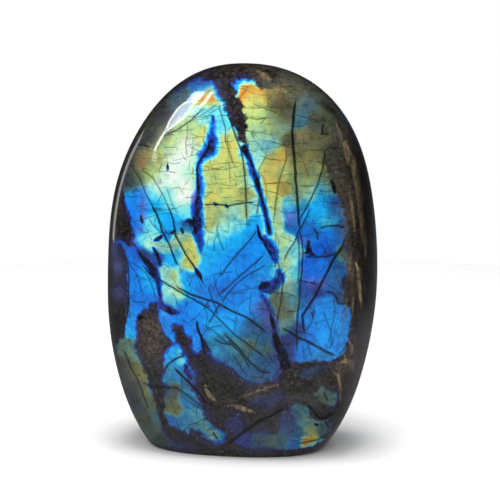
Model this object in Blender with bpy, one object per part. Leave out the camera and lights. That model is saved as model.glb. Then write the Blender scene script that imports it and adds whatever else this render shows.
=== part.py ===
"""A polished labradorite freeform that stands on a sawn flat base.

Run with: blender --background --python part.py
Units are metres, +Z is up. The polished show face looks along -Y, and the origin is the middle of
the base, on the surface that the stone stands on.
"""

import math

import bmesh
import bpy
from mathutils import Vector

# Driving dimensions of the finished stone
HEIGHT = 0.1200
WIDTH = 0.0850
THICKNESS = 0.0520

# The lapidary's egg: its widest level, and how far the uncut egg would reach below the saw cut
WIDEST_LEVEL = 0.0560
UNCUT_DEPTH_BELOW_BASE = 0.0135

# Shape of the curves: 2 is an ellipse, and a larger number has flatter sides and rounder corners
OUTLINE_SQUARENESS = 2.24
SHOULDER_SQUARENESS = 2.7

# The stone leans to its right as it rises, and its belly hangs a little forward of its top
LEAN_PER_METRE = 0.018
BELLY_PER_METRE = 0.040

# The arris of the saw cut is rounded over this much height, in this many strips above and below it
BASE_ARRIS = 0.0014
ARRIS_STRIPS = 2

# Broad hand-ground swells: their height, and how many fit in the stone's height
GRINDING_SWELL = 0.00035
SWELL_WAVES = 2.5

# Each of the two trains of swells runs this way across the face: sideways share, upward share, start
SWELL_TRAINS = ((0.4, 1.0, 0.0), (0.8, -0.5, 1.3))

# Every side of the starting cube is cut into this many strips, and edges shorter than this are merged
STRIPS_PER_SIDE = 24
SHORTEST_EDGE = 0.0002

# A vertex this near a plane counts as on it
ON_PLANE = 0.00001

# An edge that turns more than this stays crisp when the stone is shaded smooth
CRISP_EDGE_DEGREES = 40

# The dark body of the stone
BODY_COLOUR = (0.045, 0.060, 0.070, 1.0)
POLISH_ROUGHNESS = 0.08


def clear_scene():
    for thing in list(bpy.data.objects):
        bpy.data.objects.remove(thing)


def labradorite_material():
    material = bpy.data.materials.new("polished_labradorite")
    material.use_nodes = True
    shader = material.node_tree.nodes["Principled BSDF"]
    shader.inputs["Base Color"].default_value = BODY_COLOUR
    shader.inputs["Roughness"].default_value = POLISH_ROUGHNESS
    shader.inputs["Metallic"].default_value = 0.0
    return material


def on_the_egg(direction):
    """The point of the uncut egg in this direction from its middle, with the middle at the widest level."""
    half_width = WIDTH / 2
    half_depth = THICKNESS / 2
    if direction.z >= 0:
        half_height = HEIGHT - WIDEST_LEVEL
    else:
        half_height = WIDEST_LEVEL + UNCUT_DEPTH_BELOW_BASE
    across = abs(direction.x) / half_width
    along = abs(direction.y) / half_depth
    up = abs(direction.z) / half_height
    outline = (across**OUTLINE_SQUARENESS + up**OUTLINE_SQUARENESS) ** (1 / OUTLINE_SQUARENESS)
    reach = (outline**SHOULDER_SQUARENESS + along**SHOULDER_SQUARENESS) ** (1 / SHOULDER_SQUARENESS)
    return direction / reach


def swell(point):
    """A slow rise and fall of the ground surface, in metres."""
    turn = 2 * math.pi * SWELL_WAVES / HEIGHT
    wave = 0.0
    for sideways, upward, start in SWELL_TRAINS:
        wave += math.sin(turn * (sideways * point.x + upward * point.z) + start)
    return GRINDING_SWELL * wave / len(SWELL_TRAINS)


def cut_to_the_base(level):
    """The level after the saw cut: unchanged above it, 0 below it, and a small round arris between."""
    if level >= BASE_ARRIS:
        return level
    if level <= -BASE_ARRIS + ON_PLANE:
        return 0.0
    return (level + BASE_ARRIS) ** 2 / (4 * BASE_ARRIS)


def on_the_uncut_stone(cube_point):
    """The place on the whole, uncut egg of a point of the starting cube. The base is to be at z = 0."""
    spread = Vector(math.tan(corner * math.pi / 4) for corner in cube_point).normalized()
    stretched = Vector((spread.x * WIDTH, spread.y * THICKNESS, spread.z * HEIGHT))
    point = on_the_egg(stretched)
    point += spread * swell(point)
    point.x += LEAN_PER_METRE * point.z
    point.y += BELLY_PER_METRE * point.z
    point.z += WIDEST_LEVEL
    return point


def score_the_base(shape):
    """Runs edge loops round the stone at the levels of the saw cut and of the strips of its arris."""
    for strip in range(-ARRIS_STRIPS, ARRIS_STRIPS + 1):
        level = BASE_ARRIS * strip / ARRIS_STRIPS
        everything = shape.verts[:] + shape.edges[:] + shape.faces[:]
        bmesh.ops.bisect_plane(shape, geom=everything, plane_co=(0, 0, level), plane_no=(0, 0, 1))
    bmesh.ops.remove_doubles(shape, verts=shape.verts[:], dist=SHORTEST_EDGE)


def centre_over_the_origin(shape):
    """Moves the stone sideways until its overall box is centred on the Z axis."""
    for axis in (0, 1):
        places = [vertex.co[axis] for vertex in shape.verts]
        middle = (min(places) + max(places)) / 2
        for vertex in shape.verts:
            vertex.co[axis] -= middle


def stone_mesh():
    mesh = bpy.data.meshes.new("labradorite_stone")
    shape = bmesh.new()
    bmesh.ops.create_cube(shape, size=2.0)
    bmesh.ops.subdivide_edges(
        shape, edges=shape.edges[:], cuts=STRIPS_PER_SIDE - 1, use_grid_fill=True
    )
    for vertex in shape.verts:
        vertex.co = on_the_uncut_stone(vertex.co)
    score_the_base(shape)
    for vertex in shape.verts:
        vertex.co.z = cut_to_the_base(vertex.co.z)
    centre_over_the_origin(shape)
    flat = [face for face in shape.faces if all(vertex.co.z == 0.0 for vertex in face.verts)]
    bmesh.ops.dissolve_faces(shape, faces=flat)
    bmesh.ops.recalc_face_normals(shape, faces=shape.faces[:])
    shape.to_mesh(mesh)
    shape.free()
    mesh.shade_smooth()
    mesh.set_sharp_from_angle(angle=math.radians(CRISP_EDGE_DEGREES))
    return mesh


def main():
    clear_scene()
    mesh = stone_mesh()
    mesh.materials.append(labradorite_material())
    stone = bpy.data.objects.new("labradorite_stone", mesh)
    bpy.context.scene.collection.objects.link(stone)


main()
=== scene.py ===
# %% [markdown]
# A polished labradorite freeform. The real thing is one piece of dark feldspar, ground to an egg-shaped
# slab, sawn flat at the foot and polished until it looks wet. Thin layers inside the crystal throw back
# blue, green and gold light. This lesson makes the ground form, then lays out the flash, the dark rock
# and the cracks as values on its points, and lets one material turn those values into stone.

# %% Load the frame
import math

import bmesh
import bpy
import numpy as np
from mathutils import Matrix, Vector, noise


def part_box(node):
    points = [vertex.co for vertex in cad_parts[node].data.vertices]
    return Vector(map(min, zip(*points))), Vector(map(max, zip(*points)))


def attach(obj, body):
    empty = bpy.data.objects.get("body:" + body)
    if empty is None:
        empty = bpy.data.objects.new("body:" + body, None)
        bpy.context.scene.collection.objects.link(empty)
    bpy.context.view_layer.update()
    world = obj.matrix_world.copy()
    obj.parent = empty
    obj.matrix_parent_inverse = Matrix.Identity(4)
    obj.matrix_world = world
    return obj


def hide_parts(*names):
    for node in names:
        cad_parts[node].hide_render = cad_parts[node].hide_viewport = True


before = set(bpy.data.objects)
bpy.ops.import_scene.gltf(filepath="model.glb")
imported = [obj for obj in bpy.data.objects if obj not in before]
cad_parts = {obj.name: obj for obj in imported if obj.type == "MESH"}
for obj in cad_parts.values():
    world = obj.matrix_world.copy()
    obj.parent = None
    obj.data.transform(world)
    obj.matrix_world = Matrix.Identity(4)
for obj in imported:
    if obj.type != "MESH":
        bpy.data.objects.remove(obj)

scene = bpy.context.scene
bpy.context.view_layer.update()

# %% [markdown]
# The size of the stone comes from the frame, and its curves from the same few numbers that ground the
# solid: a squarish outline, full shoulders, a little lean, and a saw cut at the foot. All the places in
# this lesson are millimetres on the stone: x to the right, y to the back, z up from the base.

# %% The ground form
MM = 0.001
box_low, box_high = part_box("labradorite_stone")
WIDTH = 85.0
THICKNESS = 52.0
HEIGHT = 120.0
WIDEST_LEVEL = 56.0
UNCUT_DEPTH_BELOW_BASE = 13.5
OUTLINE_SQUARENESS = 2.24
SHOULDER_SQUARENESS = 2.7
LEAN = 0.018
BELLY = 0.040
BASE_ARRIS = 1.4
GRINDING_SWELL = 0.35
SWELL_WAVES = 2.5
SWELL_TRAINS = ((0.4, 1.0, 0.0), (0.8, -0.5, 1.3))


def half_height(up):
    """The egg's half height in mm: one value above its widest level, another below it."""
    return np.where(up >= 0, HEIGHT - WIDEST_LEVEL, WIDEST_LEVEL + UNCUT_DEPTH_BELOW_BASE)


def squareness_norm(a, b, power):
    return (np.abs(a) ** power + np.abs(b) ** power) ** (1 / power)


print("stone", WIDTH, "x", THICKNESS, "x", HEIGHT, "mm")

# %% [markdown]
# A cube is the cleanest start for an egg: its six faces give quads everywhere and no poles. Its edges
# are cut into strips, and the front is cut again, three times finer, because the show face carries the
# fine pattern. Each point of the cube is then sent to the egg: how far it is from the middle of the
# cube's face says how far out on the outline it goes, and its depth follows from the shoulder curve.

# %% Cut a cube into strips
STRIPS_ACROSS = 75
STRIPS_UP = 106
STRIPS_DEEP = 24
FRONT_CUTS = 2


def cut_along(shape, axis, strips):
    """Cuts every edge that runs along this axis into strips."""
    lengthwise = []
    for edge in shape.edges:
        run = edge.verts[1].co - edge.verts[0].co
        if abs(run[axis]) > max(abs(run[(axis + 1) % 3]), abs(run[(axis + 2) % 3])):
            lengthwise.append(edge)
    bmesh.ops.subdivide_edges(shape, edges=lengthwise, cuts=strips - 1, use_grid_fill=True)


shape = bmesh.new()
bmesh.ops.create_cube(shape, size=2.0)
cut_along(shape, 0, STRIPS_ACROSS)
cut_along(shape, 2, STRIPS_UP)
cut_along(shape, 1, STRIPS_DEEP)
JUST_INSIDE = 0.9999
front_edges = [e for e in shape.edges if all(v.co.y < -JUST_INSIDE for v in e.verts)]
bmesh.ops.subdivide_edges(shape, edges=front_edges, cuts=FRONT_CUTS, use_grid_fill=True)
stone_data = bpy.data.meshes.new("labradorite")
shape.to_mesh(stone_data)
shape.free()
print("cube points", len(stone_data.vertices))

# %% [markdown]
# RIM_START is the share of the outline that the cube's front face covers. Its sides carry the narrow
# rim from there to the back. The sine packs the strips closer together towards the rim, where the stone
# curves away.

# %% Send the cube to the egg
RIM_START = 0.97
PACKING = 0.6
PACKED = math.sin(math.pi / 2 * PACKING)


def points_of(data, what="co"):
    flat = np.zeros(len(data.vertices) * 3)
    data.vertices.foreach_get(what, flat)
    return flat.reshape(-1, 3)


def write_points(data, places):
    data.vertices.foreach_set("co", places.ravel())
    data.update()


def egg_from_cube(cube):
    """Points of the uncut egg in mm, with the middle of the base plane as origin."""
    a, c, b = cube[:, 0], cube[:, 1], cube[:, 2]
    off_centre = np.maximum(np.abs(a), np.abs(b))
    on_face = np.abs(c) > JUST_INSIDE
    radius = np.sin(math.pi / 2 * PACKING * off_centre) / PACKED * RIM_START
    rim_depth = (1 - RIM_START**SHOULDER_SQUARENESS) ** (1 / SHOULDER_SQUARENESS)
    depth = np.abs(c) * rim_depth
    rim_radius = (1 - depth**SHOULDER_SQUARENESS) ** (1 / SHOULDER_SQUARENESS)
    radius = np.where(on_face, radius, rim_radius)
    face_depth = (1 - np.minimum(radius, 1) ** SHOULDER_SQUARENESS) ** (1 / SHOULDER_SQUARENESS)
    depth = np.where(on_face, face_depth, depth) * np.sign(c)
    corner = np.maximum(squareness_norm(a, b, OUTLINE_SQUARENESS), 1e-9)
    across = a / corner * radius
    up = b / corner * radius
    return np.stack([across * WIDTH / 2, depth * THICKNESS / 2, up * half_height(up)], 1)


egg = egg_from_cube(points_of(stone_data))
outward = egg / np.linalg.norm(egg, axis=1)[:, None]
turn = 2 * math.pi * SWELL_WAVES / HEIGHT
swell = sum(np.sin(turn * (s * egg[:, 0] + u * egg[:, 2]) + start) for s, u, start in SWELL_TRAINS)
egg += outward * (GRINDING_SWELL * swell / len(SWELL_TRAINS))[:, None]
egg[:, 0] += LEAN * egg[:, 2]
egg[:, 1] += BELLY * egg[:, 2]
egg[:, 2] += WIDEST_LEVEL
write_points(stone_data, egg * MM)
print("egg", egg.min(0).round(1), egg.max(0).round(1))

# %% [markdown]
# The saw cut. Edge loops are scored round the egg at the levels of the cut and of its rounded arris, so
# that the rim of the base is a clean line. The points are flattened later, once their place on the
# uncut egg has been used to lay out the pattern.

# %% Score the base
ARRIS_STRIPS = 2
SHORTEST_EDGE = 0.04

shape = bmesh.new()
shape.from_mesh(stone_data)
for strip in range(-ARRIS_STRIPS, ARRIS_STRIPS + 1):
    everything = shape.verts[:] + shape.edges[:] + shape.faces[:]
    level = (0, 0, BASE_ARRIS * strip / ARRIS_STRIPS * MM)
    bmesh.ops.bisect_plane(shape, geom=everything, plane_co=level, plane_no=(0, 0, 1))
bmesh.ops.remove_doubles(shape, verts=shape.verts[:], dist=SHORTEST_EDGE * MM)
bmesh.ops.recalc_face_normals(shape, faces=shape.faces[:])
shape.to_mesh(stone_data)
shape.free()
uncut = points_of(stone_data) / MM
print("scored points", len(uncut))

# %% [markdown]
# Every point now gets a place on a flat drawing of the stone: x and z in millimetres as seen from the
# front, and how far round it lies towards the back. Round the rim the drawing goes on past the outline,
# so that the sides have a pattern of their own. A slow noise with a fixed seed shifts each place a
# little, which gives every line that is drawn later the wander of a natural one.

# %% The drawing of the stone
up = uncut[:, 2] - WIDEST_LEVEL
across = (uncut[:, 0] - LEAN * up) / (WIDTH / 2)
deep = (uncut[:, 1] - BELLY * up) / (THICKNESS / 2)
height_share = up / half_height(up)
outline = squareness_norm(across, height_share, OUTLINE_SQUARENESS)
face_x = uncut[:, 0]
face_z = uncut[:, 2]

WANDER = ((9.0, 0.30), (2.0, 0.16))
WANDER_SEED = 5

noise.seed_set(WANDER_SEED)
wander_x = np.zeros(len(uncut))
wander_z = np.zeros(len(uncut))
for size, amount in WANDER:
    for index, place in enumerate(uncut / size):
        shift = noise.noise_vector(Vector(place))
        wander_x[index] += shift.x * amount
        wander_z[index] += shift.z * amount
draw_x = face_x + wander_x
draw_z = face_z + wander_z
print("drawing", draw_x.min().round(1), draw_x.max().round(1))

# %% [markdown]
# The flash. The colour of labradorite comes from how far apart its thin layers lie, so one number
# carries it: the spacing, from 0 at the dark violet end to 10 at the gold end. A second number is its
# strength, from 0 where the dark rock shows to 1 where the stone glows. Both are laid out as soft dabs
# on the drawing, each with a place, a reach, a spacing and a strength, the way a painter blocks in a
# picture. A point takes the weighted mean of the dabs around it.

# %% Dabs of flash
# x, z, reach, spacing, strength
UPPER_LEFT = (
    (-11, 113.5, 2, 3.2, 0.6), (-17.5, 110, 2.5, 6.5, 0.25), (-9.5, 110, 2, 9.8, 0.75),
    (-6.5, 110, 1.6, 9.3, 0.7), (-6, 105, 2.2, 5.8, 0.9), (-3.5, 101, 1.8, 5.4, 0.9),
    (-9.4, 106.2, 1.8, 6, 0.88), (-12, 101, 2.4, 7.5, 0.85), (-9, 98.5, 2, 8.6, 0.95),
    (-15, 98, 2.5, 7.7, 0.9), (-12.5, 95, 1.8, 7.2, 1), (-15.5, 92, 2.6, 7, 1), (-17.5, 87, 2.8, 6.9, 1),
    (-16, 84, 2.2, 7, 1), (-20, 94, 2.4, 7.8, 0.85), (-23.5, 92, 2.2, 8.2, 0.6), (-27, 92.5, 2, 9.2, 0.5),
    (-29, 90, 2, 9.4, 0.45), (-24.5, 87, 2.2, 7.9, 0.75), (-29.5, 86, 2, 8, 0.35),
    (-27, 100, 3.4, 8.2, 0.18), (-23, 104, 2.6, 8.2, 0.12), (-31, 98, 3, 7.8, 0.1),
    (-21.5, 99, 2, 7.8, 0.45), (-22, 84, 2, 7, 0.9), (-19.5, 81.5, 2, 5.8, 0.95),
    (-24, 81.5, 1.8, 5.8, 0.9), (-14.5, 80.5, 2.2, 6.9, 1), (-12, 83, 1.6, 7.2, 0.95),
    (-22.5, 77.5, 2, 4.7, 1), (-17.5, 77.5, 1.8, 5.6, 0.95), (-13.5, 76.5, 1.6, 5.8, 0.95),
    (-31.5, 79, 2.2, 3.6, 0.97), (-28, 80, 1.8, 3.4, 0.85), (-27.5, 76, 1.8, 3.3, 0.85),
    (-31.5, 75.5, 1.8, 3.3, 0.95), (-33, 84, 2.4, 6.5, 0.12), (-34, 91, 3, 8.5, 0.1),
)
UPPER_MIDDLE = (
    (-2, 97.5, 1.8, 8.4, 0.95), (-2, 94.5, 2.2, 8.8, 1), (-5, 89.5, 2.2, 8.7, 0.95),
    (-6, 86, 2, 8.4, 0.9), (1.5, 93, 1.6, 8.6, 0.95), (1, 89, 2, 8.3, 0.9), (-2, 85.5, 2.2, 8.3, 0.9),
    (2.5, 85, 1.8, 7.9, 0.9), (-5.5, 82, 2.2, 8.7, 0.9), (0, 81.5, 2.2, 8.3, 0.88),
    (4.3, 82, 1.4, 8.2, 0.62), (4.3, 88, 1.3, 7.6, 0.75), (5.8, 110.5, 1.8, 8.9, 0.95),
    (3, 112.5, 1.6, 9.9, 0.92), (6, 113.2, 1.6, 9.9, 0.85), (8.5, 109.5, 1.8, 9, 0.85),
    (11.5, 111, 1.8, 9.3, 0.45), (5.8, 106, 1.6, 8, 0.92), (8.5, 105, 2, 8, 0.85),
    (6.8, 101, 1.8, 7.5, 0.85), (10, 101, 2, 7.9, 0.78), (12.5, 104, 2, 7.9, 0.55),
    (14.5, 101, 2, 7.4, 0.48), (8, 96.5, 1.8, 6.9, 0.8), (12, 96, 1.8, 6.2, 0.62),
    (8, 91.5, 1.8, 6.5, 0.9), (14.5, 93, 1.8, 9.2, 0.72), (12.5, 90.5, 1.8, 8.9, 0.78),
    (11, 87, 1.8, 8.8, 0.82), (14, 87, 1.8, 8.9, 0.72), (16.8, 83.3, 1.2, 9.3, 0.62),
    (13, 82.5, 1.8, 8.6, 0.85), (7, 86, 1.4, 6, 0.9), (5.5, 85, 1.2, 7.6, 0.8),
    (16, 88.5, 1.6, 8.3, 0.72), (13.5, 78, 1.8, 8.3, 0.85),
)
UPPER_RIGHT = (
    (20.5, 87.5, 2, 8, 0.5), (22.5, 91, 2.2, 8.8, 0.48), (20.5, 95, 1.8, 8.8, 0.36),
    (24.5, 94, 2.4, 8.7, 0.42), (25.5, 98, 2.2, 8.9, 0.32), (22, 99.5, 1.6, 9.2, 0.45),
    (26, 89, 2, 8.3, 0.5), (18, 98, 1.3, 8.6, 0.22), (27.5, 103, 2.6, 8.2, 0.16),
    (20.5, 107, 1.8, 5.6, 0.32), (21, 103.5, 1.6, 5.4, 0.32), (17, 109, 2.4, 8.4, 0.16),
    (24.5, 108.5, 2, 4.6, 0.24), (14, 109, 2.2, 8.8, 0.24), (15.5, 105.5, 1.8, 8.8, 0.28),
    (23, 84.5, 1.8, 7.7, 0.62), (24.5, 81.5, 1.6, 6.6, 0.72), (21, 81.5, 1.6, 7.6, 0.55),
    (28.5, 83.5, 1.8, 5.4, 0.62), (27.5, 79.5, 1.8, 4.6, 0.88), (31.5, 79, 1.6, 3.6, 0.42),
    (28.5, 87.5, 1.6, 7, 0.42), (31, 86, 2.2, 8, 0.12), (30.5, 95, 3, 8.6, 0.1),
    (22.5, 79, 1.5, 4.6, 0.62), (18.2, 79, 1.5, 6, 0.75), (26, 104, 2, 8.6, 0.14),
)
MIDDLE_LEFT = (
    (-24.5, 72.5, 2, 6, 0.95), (-26, 68, 1.8, 6, 0.92), (-28.5, 71, 1.6, 3.2, 0.85),
    (-21.5, 73, 1.6, 4.9, 0.95), (-18.5, 74, 1.6, 4.2, 0.95), (-15.5, 73.5, 1.4, 4.6, 0.88),
    (-13, 71.5, 1.4, 4, 0.6), (-24, 65.5, 1.5, 6.8, 0.92), (-20.5, 66, 1.5, 6.6, 0.75),
    (-16.5, 66.5, 1.4, 7.2, 0.72), (-18.8, 68.2, 1.2, 3.8, 0.85), (-13, 69, 1.3, 7.4, 0.75),
    (-11, 66, 1.8, 8.5, 0.88), (-10.6, 62.5, 1.6, 8.6, 0.88), (-12.3, 60.5, 1.5, 8.2, 0.8),
    (-15, 63, 1.4, 5.2, 0.85), (-17, 60.5, 1.6, 4.4, 0.88), (-16.3, 57, 1.6, 8.2, 0.8),
    (-19, 58, 1.4, 6.8, 0.85), (-13.5, 57, 1.5, 4, 0.9), (-18.5, 53, 1.7, 6.4, 0.88),
    (-15.5, 52, 1.6, 7.3, 0.8), (-12, 53, 1.6, 4.3, 0.88), (-16.5, 49, 1.5, 5.6, 0.72),
    (-14, 46.5, 1.6, 3.2, 0.85), (-22.5, 61.5, 1.5, 2.6, 0.6), (-33.5, 64, 1.8, 3.6, 0.75),
    (-30, 64, 1.6, 2.8, 0.9), (-26, 62.5, 1.5, 2.8, 0.35), (-30, 58.5, 2.2, 3.2, 0.97),
    (-31, 53.5, 2, 3.3, 0.97), (-26.3, 57, 1.6, 4.6, 0.92), (-28, 54, 1.8, 3.4, 0.97),
    (-24.8, 53.5, 1.5, 4.4, 0.9), (-30, 48.5, 1.8, 3.4, 0.97), (-26, 48.5, 1.8, 3.3, 0.85),
    (-31.3, 42, 1.8, 3.9, 0.88), (-31.8, 39, 1.4, 4.4, 0.9), (-36.5, 57, 1.8, 2.6, 0.3),
    (-36, 46, 2.4, 3.6, 0.24), (-37.5, 61, 2, 2.8, 0.25), (-40, 54, 2, 3.2, 0.14),
    (-40, 44, 2.4, 3.4, 0.1), (-34.6, 52, 1, 3, 0.18), (-34.2, 47, 1.2, 3.2, 0.3),
)
MIDDLE = (
    (-6.5, 76, 1.8, 8.3, 0.85), (-5.5, 72.8, 1.7, 8.5, 0.85), (-2, 75.5, 2, 8, 0.8),
    (2, 76, 1.8, 6.9, 0.8), (-1, 72, 1.9, 6.6, 0.85), (2.5, 72.5, 1.8, 5.9, 0.85),
    (-5.5, 69.3, 1.7, 6.6, 0.9), (-2, 69, 1.7, 5.8, 0.92), (-6.8, 65, 1.5, 5.2, 0.92),
    (-3.8, 64, 1.9, 4.6, 0.95), (-6, 60, 1.8, 4.5, 0.9), (0.5, 66.5, 2, 4.5, 0.95),
    (4, 68.5, 1.8, 4.5, 0.92), (0.5, 62, 2, 3.9, 0.92), (-3, 58.5, 2, 3.9, 0.9),
    (4.5, 61.5, 2.2, 3.6, 0.9), (8, 66, 1.8, 3.8, 0.92), (8.5, 60, 2, 3.7, 0.9), (5, 56, 2, 3.6, 0.88),
    (0.5, 55, 2, 3.3, 0.85), (-6, 54, 1.7, 3.6, 0.85), (-9.5, 54.5, 1.8, 3.8, 0.85),
    (3, 50.5, 2, 3.5, 0.85), (-2.5, 48.5, 1.8, 3.6, 0.85), (8, 50.5, 1.8, 3.9, 0.88),
    (-6.5, 47, 1.8, 3.9, 0.9), (0.5, 44, 2, 4.1, 0.92), (-10.5, 45.5, 1.8, 3.7, 0.92),
    (-14.5, 42.6, 1.6, 3.6, 0.88), (-9, 41, 1.6, 3.6, 0.86), (-3.5, 41.8, 1.8, 4.3, 0.85),
    (3.3, 41.5, 1.8, 4.2, 0.82), (-1, 38, 1.7, 4.8, 0.52), (-4, 35.5, 1.7, 4.8, 0.58),
    (3.5, 36.5, 1.9, 5.6, 0.4), (6.5, 40.5, 1.8, 4.6, 0.44), (-9.3, 36, 1.4, 3.9, 0.85),
    (6, 47, 1.8, 4, 0.9), (11, 58.5, 1.8, 4.3, 0.85), (12, 61, 1.5, 4, 0.85), (8.5, 74, 1.5, 4.4, 0.88),
    (7.5, 71, 1.5, 4.2, 0.88), (5.5, 76.5, 1.4, 7.4, 0.72), (8, 77.5, 1.3, 6.2, 0.8),
    (11.3, 47.5, 1.4, 2.8, 0.42), (8.6, 46, 1.5, 3.8, 0.66), (12.5, 42.5, 1.4, 3.2, 0.36),
    (9, 42, 1.6, 4.4, 0.4), (10.5, 38, 1.8, 4.4, 0.38), (7.3, 36.5, 1.6, 7.2, 0.24),
    (12.5, 35, 1.6, 6.8, 0.24), (5, 33, 1.8, 5.4, 0.36), (9.5, 32, 1.8, 4.6, 0.38),
    (1, 32, 1.6, 4.8, 0.48), (14.5, 29.5, 1.5, 4.2, 0.4), (10, 27, 1.8, 4.6, 0.34),
    (5, 28.5, 1.5, 4.2, 0.44), (14.5, 33, 1.4, 3, 0.34), (16.2, 27.5, 1.2, 2.2, 0.42),
)
MIDDLE_RIGHT = (
    (12.5, 75, 1.4, 6.2, 0.85), (15, 74, 1.6, 7.7, 0.82), (14.2, 70.5, 1.5, 7.2, 0.85),
    (13, 67.8, 1.1, 5.2, 0.85), (17, 68, 1.6, 7.2, 0.8), (19.3, 65, 1.6, 6, 0.8),
    (17, 63, 1.6, 7.2, 0.82), (16.3, 60, 1.5, 7.4, 0.8), (17.5, 57, 1.5, 7.4, 0.78),
    (20, 58.5, 1.4, 5.6, 0.78), (18.7, 54, 1.4, 6.8, 0.55), (16.3, 50, 1.5, 8, 0.36),
    (17.5, 46.3, 1.6, 8, 0.36), (19.8, 50, 1.4, 5.8, 0.4), (18.3, 43, 1.5, 6.4, 0.42),
    (19, 76.5, 1.6, 3.8, 0.72), (19.3, 73, 1.5, 3.6, 0.62), (25, 77, 1.6, 4.3, 0.9),
    (28, 76, 1.8, 4.7, 0.9), (31, 77, 1.6, 4.4, 0.55), (24.5, 73.5, 1.5, 3.8, 0.72),
    (29.5, 73.5, 1.6, 5.2, 0.72), (23.8, 69.8, 1.5, 3, 0.72), (26, 68.8, 1.4, 3.6, 0.72),
    (29, 69.3, 1.7, 3.2, 0.85), (32, 69, 1.5, 3.4, 0.72), (28, 65.8, 1.6, 2.5, 0.9),
    (33.8, 71, 1.5, 4, 0.4), (24.8, 60, 1.6, 2.7, 0.85), (27.5, 60.5, 1.7, 3.2, 0.85),
    (26, 58, 1.5, 3.1, 0.88), (30, 64.3, 1.3, 3, 0.55), (33, 60.5, 1.8, 3.6, 0.55),
    (34.7, 63.5, 1.5, 7.8, 0.28), (32.5, 56.5, 1.7, 4, 0.52), (23.8, 53, 1.4, 2.8, 0.6),
    (27, 53.5, 1.3, 2, 0.4), (30.3, 54, 1.4, 3.4, 0.62), (24.5, 49.8, 1.5, 3.4, 0.52),
    (28.3, 48.5, 1.6, 3.8, 0.82), (31, 48, 1.5, 3.9, 0.82), (33.8, 46.5, 1.4, 3.8, 0.85),
    (34, 50.3, 1.3, 4, 0.42), (29.8, 42.5, 2, 4, 0.98), (26.8, 42.5, 1.6, 3.9, 0.92),
    (33, 41.8, 1.7, 4, 0.95), (33.5, 38, 1.5, 4.1, 0.9), (28.3, 37.5, 1.8, 4, 0.95),
    (31.5, 36, 1.4, 4, 0.88), (25, 38.5, 1.4, 3.2, 0.8), (23.5, 45.5, 1.3, 3.6, 0.78),
    (21.3, 41, 1.3, 2.8, 0.45), (19.5, 38, 1.3, 2.8, 0.32), (18.5, 34.5, 1.2, 2.4, 0.36),
    (22.5, 35, 1.5, 3.4, 0.8), (25.5, 33.5, 1.4, 4.1, 0.72), (29, 33.3, 1.3, 4.3, 0.72),
    (14, 59.5, 1.1, 5.4, 0.8), (15, 66.3, 1, 6.8, 0.85),
)
LOWER_LEFT = (
    (-33.5, 32.5, 1.8, 6.8, 0.36), (-30.5, 31.3, 1.6, 7.2, 0.45), (-29, 33, 1.2, 5, 0.4),
    (-31.5, 26.5, 1.9, 8.4, 0.3), (-34, 26, 1.8, 8.4, 0.16), (-28.3, 26, 1.6, 8.6, 0.4),
    (-30.5, 20, 2, 8.4, 0.18), (-26.8, 20.5, 1.8, 8.6, 0.38), (-32, 15, 2.2, 6, 0.12),
    (-25, 15.5, 1.6, 8, 0.3), (-22.8, 12, 1.4, 5.4, 0.3), (-28, 11.5, 2, 7.6, 0.16),
    (-24, 7.5, 1.8, 7, 0.22), (-21.5, 4.5, 1.5, 7, 0.18), (-17.5, 31.3, 1.6, 4.5, 0.85),
    (-14.2, 31.3, 1.5, 5.6, 0.78), (-18.3, 26.5, 1.7, 4.9, 0.55), (-14, 27, 1.5, 4.4, 0.62),
    (-17.5, 20.5, 1.5, 7.4, 0.24), (-17, 15, 1.5, 8, 0.3), (-12, 18.5, 1.7, 4.7, 0.52),
    (-13.5, 12.5, 1.4, 4.9, 0.46), (-18, 11.3, 1.3, 3.6, 0.5), (-10.3, 13, 1.6, 5.6, 0.5),
    (-7.3, 9.5, 1.5, 6.2, 0.44), (-4.2, 7.5, 1.4, 6.6, 0.46), (-2.3, 6.3, 1.2, 4.4, 0.55),
    (-15, 36.8, 1.2, 4, 0.8), (-12, 24, 1.3, 4.6, 0.36),
)
LOWER_RIGHT = (
    (3, 11.6, 2, 1.9, 0.22), (5, 6.4, 1.8, 2, 0.34), (9, 6, 1.5, 5.5, 0.2), (12, 20, 2.2, 3.4, 0.2),
    (15.5, 21, 1.5, 2.6, 0.16), (12, 7, 2, 7, 0.22), (16.3, 6.2, 1.6, 5.6, 0.26),
    (19.6, 5, 1.3, 3.7, 0.52), (18.8, 9.5, 1.5, 3.6, 0.3), (18.3, 14, 1.5, 3.2, 0.26),
    (21.5, 15.8, 1.6, 5.4, 0.3), (23.8, 12.3, 1.5, 6.4, 0.36), (24.7, 8.8, 1.3, 8.2, 0.5),
    (23.8, 4.6, 1.3, 9.6, 0.7), (28.2, 9, 1.2, 6, 0.26), (21.6, 9, 1.2, 4.6, 0.34),
    (26.5, 28.2, 2, 3.8, 0.22), (28.3, 20.8, 1.8, 6.8, 0.26), (31.3, 18.3, 1.6, 6.6, 0.3),
)
DABS = UPPER_LEFT + UPPER_MIDDLE + UPPER_RIGHT + MIDDLE_LEFT + MIDDLE + MIDDLE_RIGHT
DABS += LOWER_LEFT + LOWER_RIGHT
DAB_SPREAD = 1.15
FAINTEST_PULL = 1e-7


def lay_dabs(dabs):
    """The spacing and strength of the flash at every point, from the dabs around it."""
    pull_sum = np.full(len(draw_x), FAINTEST_PULL)
    spacing = np.zeros(len(draw_x))
    strength = np.zeros(len(draw_x))
    for x, z, reach, dab_spacing, dab_strength in dabs:
        away = (draw_x - x) ** 2 + (draw_z - z) ** 2
        pull = np.exp(-away / (reach * DAB_SPREAD) ** 2)
        pull_sum += pull
        spacing += pull * dab_spacing
        strength += pull * dab_strength
    return spacing / pull_sum, strength / pull_sum


spacing, strength = lay_dabs(DABS)
print(len(DABS), "dabs")

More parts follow.
